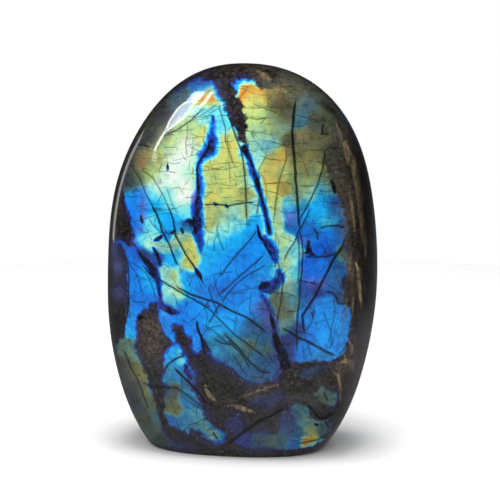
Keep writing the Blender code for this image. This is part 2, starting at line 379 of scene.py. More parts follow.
# %% [markdown]
# The dark rock. Where the layers turn away the stone is near-black with tan specks. Its outline is
# crisp, so it is drawn with closed lines, and every point gets its distance to them: below 0 inside
# the rock, above 0 in the flash. The islands are patches of flash inside the rock.

# %% Outlines of the dark rock
DARK_CAP = (
    (-50, 125), (-50, 62), (-42, 62), (-38, 65), (-35.5, 67), (-32.5, 66.2), (-30.2, 64.2), (-30.3, 68),
    (-31, 72), (-32.3, 75), (-33.8, 78), (-34, 81), (-35.2, 85), (-35, 90), (-33.5, 95), (-31, 101),
    (-28, 105.5), (-23.5, 109.3), (-20, 111), (-18, 113), (-15, 115), (-11, 116.2), (-8, 115.6),
    (-6, 114.4), (-4.4, 112.6), (-3, 109.5), (-2, 107), (-0.5, 104.4), (1, 101.4), (2.5, 98.6),
    (3.8, 96.6), (4.6, 94.8), (5.2, 93), (5.8, 94.6), (5, 97), (4.9, 100.5), (4.2, 104), (3.2, 107),
    (1.8, 110), (0.3, 112.4), (-0.9, 114.2), (0.4, 115.9), (3, 116.3), (6, 115.2), (9, 113.2),
    (11.5, 112.7), (13.5, 113.6), (16.5, 114.6), (20, 113.3), (23, 111.3), (26.5, 108), (29, 104),
    (29.8, 99.5), (29, 95.5), (29, 91), (30, 87), (31.2, 84), (32.6, 81), (34, 77.5), (34.8, 74),
    (35.6, 70), (35.2, 66), (35.8, 62.5), (35.8, 59), (34.8, 56.5), (34.4, 53.5), (34.8, 51.5),
    (34.6, 48.6), (36, 47.8), (36.4, 44), (36.3, 39), (37, 36), (50, 36), (50, 125),
)
DARK_FOOT = (
    (-50, 64), (-34.2, 64.5), (-32.4, 60), (-32, 48), (-32.8, 42), (-33.6, 38), (-33.4, 35.2),
    (-31, 34.6), (-28.8, 35.4), (-28.6, 39), (-29, 42), (-27.2, 44.6), (-24.6, 46.4), (-22.8, 47.8),
    (-21.4, 45.8), (-21.6, 43), (-20.6, 40.2), (-18.9, 38), (-17.4, 36.6), (-16.2, 35.9), (-15.3, 36.6),
    (-15.7, 38.8), (-17.1, 40.9), (-16.4, 42), (-14.4, 41), (-12.6, 39.8), (-11.4, 38), (-11.6, 35),
    (-10.4, 33.1), (-8.4, 33.2), (-7.8, 35.4), (-7.3, 37.6), (-6.4, 36), (-5.6, 33.2), (-4, 31.1),
    (-1.5, 30), (1, 29.2), (3, 27), (5, 25.3), (7.8, 24.1), (10.5, 24.1), (13, 25.2), (15.6, 25.5),
    (16.9, 27.4), (16.6, 30), (18.4, 30.9), (20.6, 31.4), (24, 31), (28, 30.8), (31, 31), (33.5, 32.6),
    (35.6, 35.6), (36.3, 40), (36.2, 46), (50, 46), (50, -30), (-50, -30),
)
ISLANDS = (
    ((-16, 36.2), (-18.2, 34.7), (-20, 32.6), (-20.9, 29.4), (-20.2, 27), (-20.5, 24.3), (-19.5, 21.4),
     (-20.4, 17.5), (-20.3, 12.5), (-19, 9.4), (-16.3, 8.4), (-13.8, 8.2), (-12.9, 6.2), (-11.6, 8.6),
     (-9.3, 8.2), (-7.7, 5.7), (-5.2, 4.4), (-2.2, 4.5), (-0.8, 6), (-1, 8.4), (-3, 10), (-5, 11.6),
     (-6.2, 14), (-7.5, 17), (-9, 20), (-10.6, 22.6), (-9.6, 25), (-9.9, 28), (-11.5, 31), (-13.4, 34),
     (-15, 36.6)),
    ((-38, 32), (-35.5, 35), (-32.6, 36), (-30.2, 34.8), (-28.4, 32), (-27, 28), (-25.4, 24), (-23.8, 19),
     (-22.8, 14), (-21.8, 9.5), (-20.6, 6), (-17.5, 4), (-12, 3), (-12, 1), (-22, 0.5), (-30, 4),
     (-36, 12), (-40, 24)),
    ((-0.5, 11), (0.4, 14), (3, 14.4), (4.9, 12.6), (5.1, 10), (3, 8.9), (1, 9.4)),
    ((1, 5.4), (1.4, 7.6), (4, 9), (6.2, 8.8), (8, 9.6), (12, 9), (15, 9.4), (16, 11.5), (17, 15),
     (19, 17), (22, 18.4), (24.4, 16.4), (25, 13.4), (27.4, 11.9), (29.6, 12.2), (31, 9), (29, 5.4),
     (26, 3.2), (20, 2.8), (13, 2.8), (8, 3.4), (4, 3.6)),
    ((8, 18.6), (9, 20.6), (12, 21.1), (14.5, 22.2), (16.9, 21.4), (16, 18.6), (13, 17.6), (10.5, 16.8)),
    ((26, 22), (28.8, 23.2), (31.6, 21.4), (33.4, 18.6), (31.6, 15.6), (29.2, 17.6), (27, 19)),
    ((22, 27), (24, 29.6), (28, 30.2), (29.4, 28.2), (26, 26.4), (23, 26)),
)
FAR = 30.0


def along_line(points):
    """Distance to a line of points, which side a point is on, and how far along the line it is."""
    nearest = np.full(len(draw_x), FAR)
    side = np.ones(len(draw_x))
    reached = np.zeros(len(draw_x))
    lengths = [math.dist(first, last) for first, last in zip(points, points[1:])]
    whole = sum(lengths)
    done = 0.0
    for (x0, z0), (x1, z1), length in zip(points, points[1:], lengths):
        run_x, run_z = (x1 - x0) / length, (z1 - z0) / length
        rel_x, rel_z = draw_x - x0, draw_z - z0
        share = np.clip(rel_x * run_x + rel_z * run_z, 0, length)
        away = np.hypot(rel_x - share * run_x, rel_z - share * run_z)
        closer = away < nearest
        nearest = np.where(closer, away, nearest)
        side = np.where(closer, np.sign(run_x * rel_z - run_z * rel_x), side)
        reached = np.where(closer, (done + share) / whole, reached)
        done += length
    return nearest, side, reached


def within(outline_points):
    """Distance to a closed line, below 0 inside it."""
    closed = outline_points + outline_points[:1]
    nearest = along_line(closed)[0]
    inside = np.zeros(len(draw_x), bool)
    for (x0, z0), (x1, z1) in zip(closed, closed[1:]):
        crosses = (z0 > draw_z) != (z1 > draw_z)
        if z0 != z1:
            inside ^= crosses & (draw_x < (x1 - x0) * (draw_z - z0) / (z1 - z0) + x0)
    return np.where(inside, -nearest, nearest)


from_dark = np.minimum(within(DARK_CAP), within(DARK_FOOT))
for island in ISLANDS:
    from_dark = np.maximum(from_dark, -within(island))
print("share of the points in dark rock", (from_dark < 0).mean().round(2))

# %% [markdown]
# The fissures are old breaks, healed with dark feldspar. Each is a line with a width at every point.
# Towards one, the flash runs down through cyan and royal blue, so each fissure has a blue halo. Black
# ones are open to the surface. Blue ones lie below it, so they darken nothing and only have the halo.

# %% Fissures
# Each: darkness (below 0 only the blue halo shows), halo width in mm, then points: x, z, half width
FISSURES = (
    (1, 0.8, ((4.6, 95.4, 1.1), (5.4, 93.6, 0.7), (6.6, 91.6, 0.35), (7.6, 88.6, 0.35), (8.5, 86, 0.7),
        (9.2, 83.6, 0.6), (9.8, 82, 0.25))),
    (1, 0.9, ((9.8, 82, 0.3), (11.4, 77.4, 0.35), (12.2, 74, 0.4), (13, 70.6, 0.5))),
    (-0.2, 1, ((6, 91, 0.1), (8.6, 84.6, 0.5), (9.8, 81.4, 0.1), (11, 77, 0.2))),
    (0.4, 0.5, ((-5.6, 104.4, 0.3), (-5.5, 103, 0.3))),
    (-0.2, 1.4, ((-5.6, 102.6, 0.1), (-5.4, 99.6, 0.6), (-5.2, 97, 1.3), (-6, 94.8, 1.6),
        (-8.2, 92.6, 0.9), (-9.4, 90.6, 0.2), (-9.2, 87.6, 0.2), (-8.7, 84.4, 0.4), (-9, 81.4, 0.6))),
    (0.6, 0.3, ((-4.9, 98, 0.4), (-5.6, 96, 0.8), (-7, 94, 0.5), (-9.2, 91, 0.3), (-9.8, 88.6, 0.25),
        (-9.3, 84, 0.25), (-9, 81, 0.7), (-8.9, 78.4, 1.3), (-9.2, 76.4, 1), (-9.6, 74.6, 0.5))),
    (0.8, 1.4, ((-10.4, 74.6, 0.3), (-9.4, 73.6, 1.4), (-9.2, 72, 1.3), (-9.6, 70, 0.6))),
    (-0.1, 1.4, ((-9.4, 81, 0.8), (-9.4, 76, 1.2), (-9.2, 71.6, 1.1), (-8.4, 68.4, 0.7),
        (-7.6, 65, 0.3))),
    (0.6, 0.9, ((-13.6, 73, 0.15), (-12, 73.4, 0.7), (-10.6, 72.8, 1))),
    (0.9, 0.6, ((-9.3, 59, 0.35), (-8.7, 57.6, 0.8), (-8, 56.2, 0.35))),
    (1, 0.8, ((9.3, 72.4, 0.2), (9.8, 69.6, 0.45), (11.2, 67.6, 0.3), (12.8, 65, 0.25),
        (14.2, 62.4, 0.2))),
    (0.1, 1.2, ((11.4, 69, 0.3), (12.6, 67, 1), (14, 64.6, 1.1), (14.6, 62.4, 0.4))),
    (0.75, 0.9, ((10.4, 54.2, 0.7), (11.2, 54.6, 1.2), (12.2, 55, 0.8), (13.6, 55.2, 0.4))),
    (0.15, 1.2, ((10.2, 53.6, 0.8), (12.4, 53.6, 1.5), (14.4, 55, 1.3), (16.2, 57, 1.1),
        (15.6, 59, 0.4))),
    (-0.1, 1.2, ((10.8, 51.6, 0.5), (12.2, 49, 0.5), (13.4, 46.4, 0.6))),
    (0.7, 1.3, ((13.3, 46, 0.4), (13.9, 43.6, 0.7), (14.4, 40.6, 0.6), (14.8, 38.4, 1), (15.8, 36, 1.2),
        (16.8, 33.6, 1.3), (17.7, 30.6, 1.6))),
    (1, 0.15, ((24.4, 67.6, 0.3), (24.4, 65.2, 0.95), (25.2, 64.2, 0.5))),
    (0.9, 0.15, ((23.2, 64.4, 0.3), (24.4, 65, 0.6), (26.6, 63.4, 0.3))),
    (0.5, 1, ((-29.8, 65.6, 0.5), (-27.8, 62.8, 0.6), (-25, 60, 1), (-23.4, 58, 1.5), (-22, 55.6, 0.9),
        (-21.3, 52, 0.5), (-20.8, 49, 0.5), (-20.4, 47, 0.9), (-17, 45.6, 1.1), (-15.2, 45.4, 0.6))),
    (0.8, 0.4, ((-22.8, 67.2, 0.3), (-21.8, 67.6, 0.6), (-20.6, 68.6, 0.5), (-20, 69, 0.2))),
    (0.7, 0.4, ((-18.2, 69.4, 0.2), (-17, 70, 0.5), (-16.4, 70.6, 0.2))),
    (0.9, 0.1, ((-14.2, 71.2, 0.2), (-13.8, 70.4, 0.5), (-13.6, 69.6, 0.2))),
    (0.8, 0.5, ((-23.2, 64.8, 0.25), (-22, 63, 0.6), (-21, 60, 0.6))),
    (1, 0.05, ((-4.2, 79.2, 0.15), (-3.8, 78.6, 0.5), (-3.3, 78.4, 0.2))),
    (1, 0.05, ((-0.6, 78.8, 0.15), (-0.3, 78, 0.5), (0.3, 77.8, 0.2))),
    (0.9, 0.1, ((-19.4, 90.4, 0.2), (-19.2, 89.4, 0.45), (-19.1, 88.4, 0.2))),
    (1, 0.3, ((-28.6, 43.4, 0.4), (-27.7, 43.2, 0.9), (-26.6, 43.4, 0.4))),
    (0.3, 0.5, ((21.8, 56.2, 0.2), (24.6, 55.6, 0.35), (27.6, 55.2, 0.4), (29.6, 55.8, 0.2))),
    (0.9, 0.15, ((30.6, 85.6, 0.3), (31.2, 83.8, 0.6), (31.6, 82.2, 0.4))),
    (0.2, 0.9, ((-12.9, 29.4, 0.3), (-12.4, 27.6, 0.9), (-11.4, 25.6, 0.7))),
    (0.8, 0.2, ((-27.6, 74.6, 0.3), (-27.4, 73.2, 0.6), (-27.2, 72.4, 0.3))),
    (0.75, 0.6, ((-6.6, 33.4, 0.2), (-7.2, 36.6, 0.35), (-8.2, 40, 0.25), (-9, 42.2, 0.2))),
    (0.9, 0.1, ((26, 10.8, 0.3), (26.4, 10.5, 0.5))),
)
ROUGH_EDGE = 0.25
FARTHEST_OUT = -4


def along_widths(points):
    """The distance to the edge of a line whose half width changes from point to point."""
    nearest, side, reached = along_line([point[:2] for point in points])
    lengths = [math.dist(first[:2], last[:2]) for first, last in zip(points, points[1:])]
    marks = np.concatenate([[0], np.cumsum(lengths)]) / sum(lengths)
    return nearest - np.interp(reached, marks, [point[2] for point in points])


into_fissure = np.full(len(draw_x), -FAR)
halo = np.full(len(draw_x), 1.0)
for darkness, halo_width, points in FISSURES:
    edge = along_widths(points)
    depth = np.clip(-edge / ROUGH_EDGE, FARTHEST_OUT, 1) - (1 - darkness)
    into_fissure = np.maximum(into_fissure, depth)
    halo = np.minimum(halo, np.clip(edge / halo_width / 2, 0, 1))
print(len(FISSURES), "fissures")

# %% [markdown]
# The cracks. Feldspar splits along flat planes, and on the polished face each plane shows as a long,
# nearly straight line. A painted line can't be thinner than the mesh, so a point doesn't get the line's
# darkness but its distance to the line, below 0 on one side and above it on the other. The material
# finds where that distance passes 0, which stays crisp however coarse the mesh is. Lines that run near
# each other go into different layers, so that one never hides another.

# %% Cracks
# Each: full width in mm, darkness, then its points x, z
CRACKS = (
    (0.4, 0.75, ((-8, 107.6), (-12.4, 103.6), (-17, 100.6), (-21.6, 98.3))),
    (0.3, 0.5, ((-4.4, 108.6), (-9, 105), (-13, 103))),
    (0.45, 0.85, ((-34, 94.2), (-31, 95.2), (-28, 95.3), (-25, 94.5))),
    (0.35, 0.7, ((-33.5, 91), (-31.4, 88.8), (-28.4, 85.4), (-26, 81), (-22.6, 75.6))),
    (0.35, 0.6, ((-28, 90), (-27.6, 88), (-24, 86), (-20.4, 81.4), (-18, 76), (-16.6, 73))),
    (0.25, 0.5, ((-19.4, 84), (-17.6, 79), (-15.4, 75))),
    (0.25, 0.55, ((-13.4, 103.4), (-13.7, 97), (-13.3, 92))),
    (0.25, 0.4, ((-11.6, 99), (-11.2, 95), (-11.8, 92.4))),
    (0.3, 0.65, ((-4.6, 109.6), (-3.6, 106), (-1.6, 101.5), (-1.2, 97.5), (0.4, 93.4), (2, 88.8))),
    (0.45, 0.8, ((-2.6, 108), (0.4, 102), (3.4, 95.4), (4.6, 90), (5.2, 85), (5.6, 80), (5.9, 75.6),
        (6, 71))),
    (0.22, 0.5, ((-0.8, 101), (-0.4, 95), (0.4, 89.4), (0.8, 83.4))),
    (0.28, 0.5, ((-9.4, 88.2), (-6, 88.7), (-3, 89.2), (-0.6, 90))),
    (0.42, 0.85, ((-8.4, 78.4), (-4, 78.6), (0, 78.2), (5, 79), (9.4, 79.5))),
    (0.22, 0.4, ((-7.5, 84.4), (-3, 84.8), (1, 84.1), (4.6, 84.9))),
    (0.22, 0.4, ((-8, 95.6), (-11, 96.4), (-14, 96))),
    (0.22, 0.45, ((-21, 91), (-17, 90.4), (-14.4, 91))),
    (0.35, 0.6, ((17, 97.4), (17.3, 92.6), (15.4, 86.6), (14.5, 80.4), (14.2, 76), (13.6, 72))),
    (0.42, 0.8, ((27.4, 97), (28.2, 93.4), (27.8, 88.6), (26.5, 84.4), (24.4, 80), (22.4, 76),
        (21.4, 72.4))),
    (0.55, 0.8, ((27.2, 103), (27, 99.6), (29.4, 99))),
    (0.28, 0.5, ((4.2, 114.2), (3.6, 112.4), (2.2, 110.8))),
    (0.28, 0.55, ((6, 108.4), (8.6, 107.4), (11.6, 106.6), (14.2, 105.4))),
    (0.25, 0.5, ((4.6, 104.2), (8, 103.8), (11.4, 104.6))),
    (0.22, 0.4, ((5.4, 99.8), (9, 100.2), (13.6, 99.2))),
    (0.25, 0.5, ((10.4, 88), (11.2, 85), (11.8, 82), (11.4, 78.6))),
    (0.22, 0.45, ((10.2, 84.8), (13.6, 85), (17.4, 85.3), (20, 84.6))),
    (0.22, 0.45, ((19.4, 95), (21.8, 92.6), (23.4, 88.8), (24.6, 86.4))),
    (0.3, 0.6, ((20.6, 84.6), (23.4, 84.2), (26.2, 84.4))),
    (0.3, 0.55, ((26.8, 82.8), (29.4, 82.4), (31.6, 82.8))),
    (0.52, 0.9, ((-25, 79.4), (-22, 74.6), (-20.3, 70), (-17.6, 65.4), (-15.7, 61), (-14, 58.6))),
    (0.5, 0.9, ((-19.4, 79.8), (-17, 73.6), (-16, 69), (-13.2, 64.4), (-10.4, 60.4), (-8.4, 57),
        (-6.2, 52.6))),
    (0.3, 0.6, ((-24.4, 78.6), (-22.6, 75.4), (-20.9, 72.6), (-18.4, 69), (-17.4, 67.6))),
    (0.5, 0.8, ((-28, 61), (-26.6, 59), (-24.4, 56.8), (-19, 54), (-13.8, 51.4), (-6.2, 47.6),
        (-3, 47.8))),
    (0.55, 0.85, ((-17.6, 54), (-10.4, 50.9), (-3, 49), (1.4, 46.8), (6, 44.8), (10.6, 41.4),
        (13.4, 38.4))),
    (0.3, 0.55, ((-33.4, 60.6), (-30, 59.6), (-27.2, 58), (-22, 53.6))),
    (0.3, 0.6, ((-33.2, 61.2), (-28.8, 56.1), (-26.6, 49.6))),
    (0.3, 0.6, ((-26.4, 58.5), (-23.6, 53.2), (-22.3, 48.7))),
    (0.4, 0.75, ((-3, 55.8), (0, 60), (3.6, 64.4), (7, 68.4), (10, 72.2))),
    (0.42, 0.75, ((-3.6, 50.4), (0, 53.6), (4.6, 58), (9, 61.6), (12.4, 65))),
    (0.38, 0.7, ((-2.2, 47.6), (-0.6, 50.6), (3, 55), (6.4, 57.8), (10, 59.6), (13.2, 61.8))),
    (0.3, 0.7, ((-5.8, 54.6), (-4.9, 50.7), (-3.4, 47.4), (-2.7, 44.7))),
    (0.42, 0.8, ((-1.8, 49.3), (-3.6, 46.2), (-5.8, 42.4))),
    (0.28, 0.6, ((-4, 58), (-3.4, 54), (-1.8, 50.4), (-0.8, 48.2))),
    (0.22, 0.5, ((0.4, 52.1), (3.7, 51.9), (7, 52.5))),
    (0.24, 0.55, ((-4.9, 57.4), (-0.6, 58.4), (2.7, 58.8))),
    (0.28, 0.6, ((-3.5, 73), (-2.8, 69.8), (-1.9, 67.1), (-0.4, 63.8))),
    (0.26, 0.55, ((-2.9, 70.4), (-4, 67), (-3.7, 64.3))),
    (0.3, 0.65, ((-12.5, 73.6), (-10.3, 69.6), (-8.4, 66.3), (-7.4, 62.1))),
    (0.26, 0.6, ((-25.5, 74.4), (-23.4, 71.7), (-20.4, 69.8), (-17.5, 69.4), (-14, 69.5))),
    (0.25, 0.5, ((-2.4, 74), (-2.9, 72.4), (-3.6, 70.4))),
    (0.6, 0.85, ((-9.4, 44), (-8.4, 40), (-6.4, 36.2), (-4.6, 33.6))),
    (0.45, 0.7, ((-5.2, 38.6), (-2, 37), (1.6, 36.5), (5, 33), (7.4, 28.6))),
    (0.4, 0.75, ((-10.1, 50.5), (-4.9, 46.5), (-0.5, 42.5), (2.9, 39.1), (7.1, 36.1), (13.4, 31.4))),
    (0.34, 0.65, ((-8, 42.4), (-4.5, 41), (-0.5, 37.5), (3.7, 36.6))),
    (0.26, 0.6, ((-0.5, 42.5), (-4, 42), (-6.7, 40.3), (-8, 37.5))),
    (0.5, 0.8, ((-1.8, 40.8), (1, 38), (3.6, 35.4), (7, 31.4), (10.4, 28.4), (14.4, 27.4))),
    (0.35, 0.6, ((1.2, 34.2), (4.2, 30), (6.4, 26.4))),
    (0.25, 0.5, ((-7.4, 48.6), (-6, 45), (-6.2, 41.6), (-4, 39))),
    (0.4, 0.65, ((15, 64.6), (16, 59), (17, 56.4), (16.6, 51), (15.6, 45.4), (15, 42))),
    (0.25, 0.5, ((14, 72), (15.6, 68), (15.2, 63), (13.8, 59))),
    (0.4, 0.75, ((25, 79), (23, 73.6), (21.4, 70.4), (20, 67.4), (18, 64.8), (16.6, 61))),
    (0.6, 0.9, ((37, 72.4), (35.4, 69.8), (33.8, 66), (31.2, 61.6), (28.6, 56.2), (27, 52.4),
        (22.8, 45.6), (23.3, 40.6), (23, 37.6))),
    (0.45, 0.7, ((22.4, 63.6), (26.8, 63.1), (31.4, 63.6), (33.4, 64.8), (34.8, 66.6))),
    (0.55, 0.75, ((27.4, 71.4), (29.6, 72.3), (32.6, 72.2), (34.8, 71))),
    (0.5, 0.7, ((25.8, 72.2), (26.9, 70.2), (27.3, 67.6))),
    (0.28, 0.5, ((27.6, 67.4), (29, 65.4), (29.6, 63.4))),
    (0.5, 0.75, ((28.6, 52.8), (31.4, 52.4), (32.6, 50.6), (32.8, 48.9), (37.4, 48.6))),
    (0.34, 0.65, ((24.8, 47.2), (25.9, 45.4), (25.4, 43), (23.4, 40.4))),
    (0.25, 0.5, ((25.3, 42.8), (28.6, 43.6), (32.4, 44.6))),
    (0.3, 0.55, ((28.6, 47.4), (30.8, 40.6), (31.3, 36.6), (30, 34.2))),
    (0.3, 0.55, ((31.6, 51.8), (32, 46), (30.8, 40), (30.2, 35.6))),
    (0.65, 0.85, ((15.8, 42.4), (18.6, 40.8), (22, 38.5), (26, 36.4), (31, 33.5), (33.4, 32.4))),
    (0.28, 0.5, ((23, 40.4), (24.2, 36.4), (25.6, 32.2))),
    (0.25, 0.5, ((22.4, 36.4), (23, 33.8), (23.2, 31.6))),
    (0.25, 0.5, ((7.6, 53.4), (7, 47.6), (7.8, 44.4))),
    (0.25, 0.5, ((1.2, 52), (6, 53.2), (11, 54.6))),
    (0.55, 0.85, ((-19.8, 26.8), (-18.4, 29.4), (-15.6, 31.4), (-12.8, 32.7))),
    (0.6, 0.95, ((-17, 29), (-13.5, 25.5), (-9.6, 21.9), (-7.5, 19), (-6.8, 16.4))),
    (0.8, 0.6, ((-29, 22.8), (-24.9, 22), (-15.9, 21.9), (-11.1, 18.8), (-5, 14))),
    (0.32, 0.6, ((-14.8, 19.6), (-10.8, 17), (-6.6, 15))),
    (0.35, 0.6, ((-13.2, 9.6), (-9, 11.4), (-5.8, 13.4))),
    (0.8, 0.95, ((-2.4, 3.4), (0, 5), (3.5, 8), (9.8, 12.7), (13, 14), (18.6, 17.6))),
    (0.55, 0.7, ((-34.6, 32.6), (-31.8, 27.6), (-29, 23), (-27.4, 18.4), (-25.6, 13))),
    (0.5, 0.9, ((-4.8, 8.6), (-4.2, 7.2), (-3.5, 5.8))),
    (0.7, 0.95, ((23.5, 18.5), (27.1, 13), (28.2, 12.3), (32.7, 14.8))),
    (0.5, 0.75, ((20, 4.8), (24.6, 5), (30, 5.8))),
    (0.5, 0.85, ((28.7, 12), (29.4, 10), (30, 8.4))),
    (0.4, 0.8, ((28.9, 21.6), (29.4, 19.8), (30, 18))),
    (0.35, 0.6, ((-22.6, 19.4), (-21.4, 15.4), (-21, 11))),
    (0.4, 0.7, ((33.2, 33), (34.8, 34.8), (35.8, 36.6))),
    (0.35, 0.6, ((-31.4, 48), (-28.6, 47.5), (-25.4, 47.8))),
    (0.25, 0.5, ((-28.8, 70.8), (-26.6, 69.4), (-24.6, 69.6))),
    (0.22, 0.4, ((1.6, 74.6), (4.4, 73), (7.4, 73.4))),
    (0.25, 0.45, ((-7.8, 72.8), (-5.6, 70.4), (-3.4, 70.2))),
    (0.45, 0.9, ((-5.6, 99), (-7.1, 94.1), (-9.5, 90.5), (-9.9, 88.7), (-9.2, 85.7), (-9.3, 81))),
    (0.65, 0.9, ((17.8, 112), (18.8, 109.4), (18.4, 105.1), (18.4, 100.7), (19.3, 94.9), (19.9, 89),
        (20.3, 83.1), (20.9, 78.7), (21.7, 72.8), (22.2, 69))),
    (0.5, 0.75, ((21.6, 74), (22.6, 65.4), (22.4, 59.3), (21.7, 50.3), (21.1, 41.2), (20.9, 31.9))),
    (0.4, 0.6, ((21, 72), (21.4, 66), (21.6, 60), (21.2, 54))),
    (0.4, 0.7, ((9, 75), (9.8, 81.6), (8, 86))),
    (0.45, 0.8, ((-32.2, 62), (-31.8, 55), (-31.9, 48), (-32.6, 41))),
)
TAPER = 0.12
REACH_OF_CRACK = 1.1
LAYER_GAP = 2.6
NOT_HERE = -3.0
EDGE_SOFTNESS = 0.22


def sample(points):
    """Places about every millimetre along a line."""
    places = []
    for (x0, z0), (x1, z1) in zip(points, points[1:]):
        steps = max(2, int(math.hypot(x1 - x0, z1 - z0)))
        places += [(x0 + (x1 - x0) * i / steps, z0 + (z1 - z0) * i / steps) for i in range(steps + 1)]
    return np.array(places)


def sort_into_layers(cracks):
    """Shares the cracks out so that those of one layer stay well apart."""
    layers = []
    for crack in cracks:
        places = sample(crack[2])
        for layer in layers:
            gaps = [np.hypot(*(places[:, None] - other[None]).T).min() for _, other in layer]
            if min(gaps) > LAYER_GAP:
                layer.append((crack, places))
                break
        else:
            layers.append([(crack, places)])
    return [[crack for crack, _ in layer] for layer in layers]


def lay_cracks(layer):
    """For every point: signed distance, half width and darkness of the nearest crack of the layer."""
    signed = np.full(len(draw_x), REACH_OF_CRACK)
    half_width = np.full(len(draw_x), NOT_HERE)
    dark = np.zeros(len(draw_x))
    for width, darkness, points in layer:
        nearest, side, reached = along_line(points)
        taper = np.clip(np.minimum(reached, 1 - reached) / TAPER, 0, 1)
        near = nearest < REACH_OF_CRACK
        local = width / 2 * taper - EDGE_SOFTNESS * (1 - taper)
        signed = np.where(near, nearest * side, signed)
        half_width = np.where(near, local, half_width)
        dark = np.where(near, darkness, dark)
    return signed, half_width, dark


crack_layers = sort_into_layers(CRACKS)
print(len(CRACKS), "cracks in", len(crack_layers), "layers")

# %% [markdown]
# Soft dabs again, one list for each thing that varies slowly. Not every edge of the rock has a blue
# rim. The rock is grey-green near the upper right, brown along the top and pale here and there. The
# flash is bleached nearly white at the upper left, and has a mauve film in a few places.

# %% Tints of the rock
# x, z, reach, amount
NO_RIM = (
    (3, 110, 2.5, 1), (5, 107, 3, 1), (6, 103, 3, 1), (6.5, 98, 3, 1), (7, 94.5, 2, 0.8), (10, 113, 3, 1),
    (14, 113, 4, 1), (19, 113, 4, 1), (25, 109, 4, 1), (29, 104, 4, 1), (30, 98, 4, 1), (30, 92, 4, 1),
    (31, 87, 4, 1), (32, 82, 3, 1), (34, 77, 3, 1), (35, 70, 3, 0.8), (36, 60, 4, 0.8), (36, 50, 4, 0.8),
    (37, 42, 3, 0.8), (-35, 92, 4, 1), (-32, 100, 4, 1), (-27, 106, 4, 1), (-22, 110, 3, 0.9),
    (-36, 84, 3, 1), (-34, 58, 3, 0.8), (-34, 50, 3, 0.8), (-34, 44, 3, 0.8), (5.5, 114.5, 2.2, 0.3),
    (-0.5, 103.5, 2.5, 0.4), (-3, 108, 2.5, 0.35), (2, 99, 2, 0.4), (-33, 34, 4, 0.7), (-26, 26, 4, 0.7),
    (-23, 16, 4, 0.7), (-28, 6, 6, 1), (12, 20, 4, 0.6), (22, 10, 8, 0.7), (28, 20, 5, 0.7),
    (25, 28, 4, 0.7), (-16, 12, 5, 0.5), (33, 33, 3, 0.8),
)
GREY_GREEN = (
    (11, 114, 4, 0.9), (16, 112, 5, 1), (23, 109, 5, 0.9), (28, 103, 4, 0.7), (30, 97, 4, 0.7),
    (30, 90, 3, 0.6), (32, 84, 3, 0.7), (-33, 92, 4, 0.3), (-30, 10, 8, 0.5), (-34, 24, 5, 0.6),
    (14, 8, 6, 0.4), (24, 20, 6, 0.4),
)
BROWN = (
    (2, 118, 5, 0.6), (8, 117, 4, 1), (14, 115, 3, 0.7), (-3, 113, 3, 0.6), (1, 106, 3, 0.7),
    (2, 100, 2.5, 0.8), (36, 84, 5, 1), (38, 70, 5, 1), (39, 56, 5, 0.8), (36, 36, 4, 1),
    (34, 26, 4, 0.9), (-40, 70, 5, 0.6), (12, 23, 4, 0.6), (-37, 76, 3, 0.5),
)
BLEACHED = (
    (-13.5, 96, 3, 0.8), (-18, 92, 2.6, 0.5), (-17.5, 87, 3.2, 0.9), (-13, 84, 2.2, 0.8),
    (-14.5, 80.5, 2, 0.9), (-11.6, 81, 1.6, 0.7), (-14, 91.5, 2.4, 0.7), (-22, 84, 2.2, 0.4),
    (-12, 105.6, 1.6, 0.3),
)
MAUVE = (
    (-26.6, 82, 1.6, 0.6), (-26.8, 78, 1.5, 0.8), (-27, 74, 1.5, 0.8), (-27.6, 70, 1.5, 0.6),
    (-29.4, 66, 1.5, 0.4), (18.8, 75.5, 2.2, 0.6), (13, 44, 2.6, 0.35), (10, 48, 2, 0.3),
    (25, 55.6, 1.6, 0.5), (28.4, 55.4, 1.5, 0.5), (22.2, 68, 1.1, 0.7), (22.2, 64, 1.1, 0.7),
    (22, 60, 1, 0.5), (-36.5, 58, 3, 0.4), (-36, 50, 3, 0.3), (-38, 63, 2, 0.4), (-18.6, 45.6, 2, 0.3),
    (-20.6, 50, 1.6, 0.35),
)
PALE_ROCK = (
    (-24, 40, 5, 0.8), (-23, 33, 4, 0.8), (-19, 42, 3, 0.5), (8, 21, 2, 0.6), (12, 23, 2, 0.6),
    (34.5, 76, 3, 1), (35, 70, 2, 0.8), (35.5, 84, 2.5, 0.6), (32, 88, 3, 0.6), (33, 97, 3, 0.4),
    (36, 62, 2, 0.6), (31, 99, 3, 0.4), (14, 112, 4, 0.6), (20, 112, 4, 0.6), (36, 30, 3, 0.7),
    (33, 28, 2, 0.7), (-8, 12, 2, 0.4),
)


def soft_dabs(dabs):
    """The sum of soft dabs at every point, 1 at the most."""
    total = np.zeros(len(draw_x))
    for x, z, reach, amount in dabs:
        total += amount * np.exp(-((draw_x - x) ** 2 + (draw_z - z) ** 2) / reach**2)
    return np.clip(total, 0, 1)


no_rim, grey_green, brown = soft_dabs(NO_RIM), soft_dabs(GREY_GREEN), soft_dabs(BROWN)
bleached, mauve, pale_rock = soft_dabs(BLEACHED), soft_dabs(MAUVE), soft_dabs(PALE_ROCK)
print("tints", len(NO_RIM + GREY_GREEN + BROWN + BLEACHED + MAUVE + PALE_ROCK), "dabs")
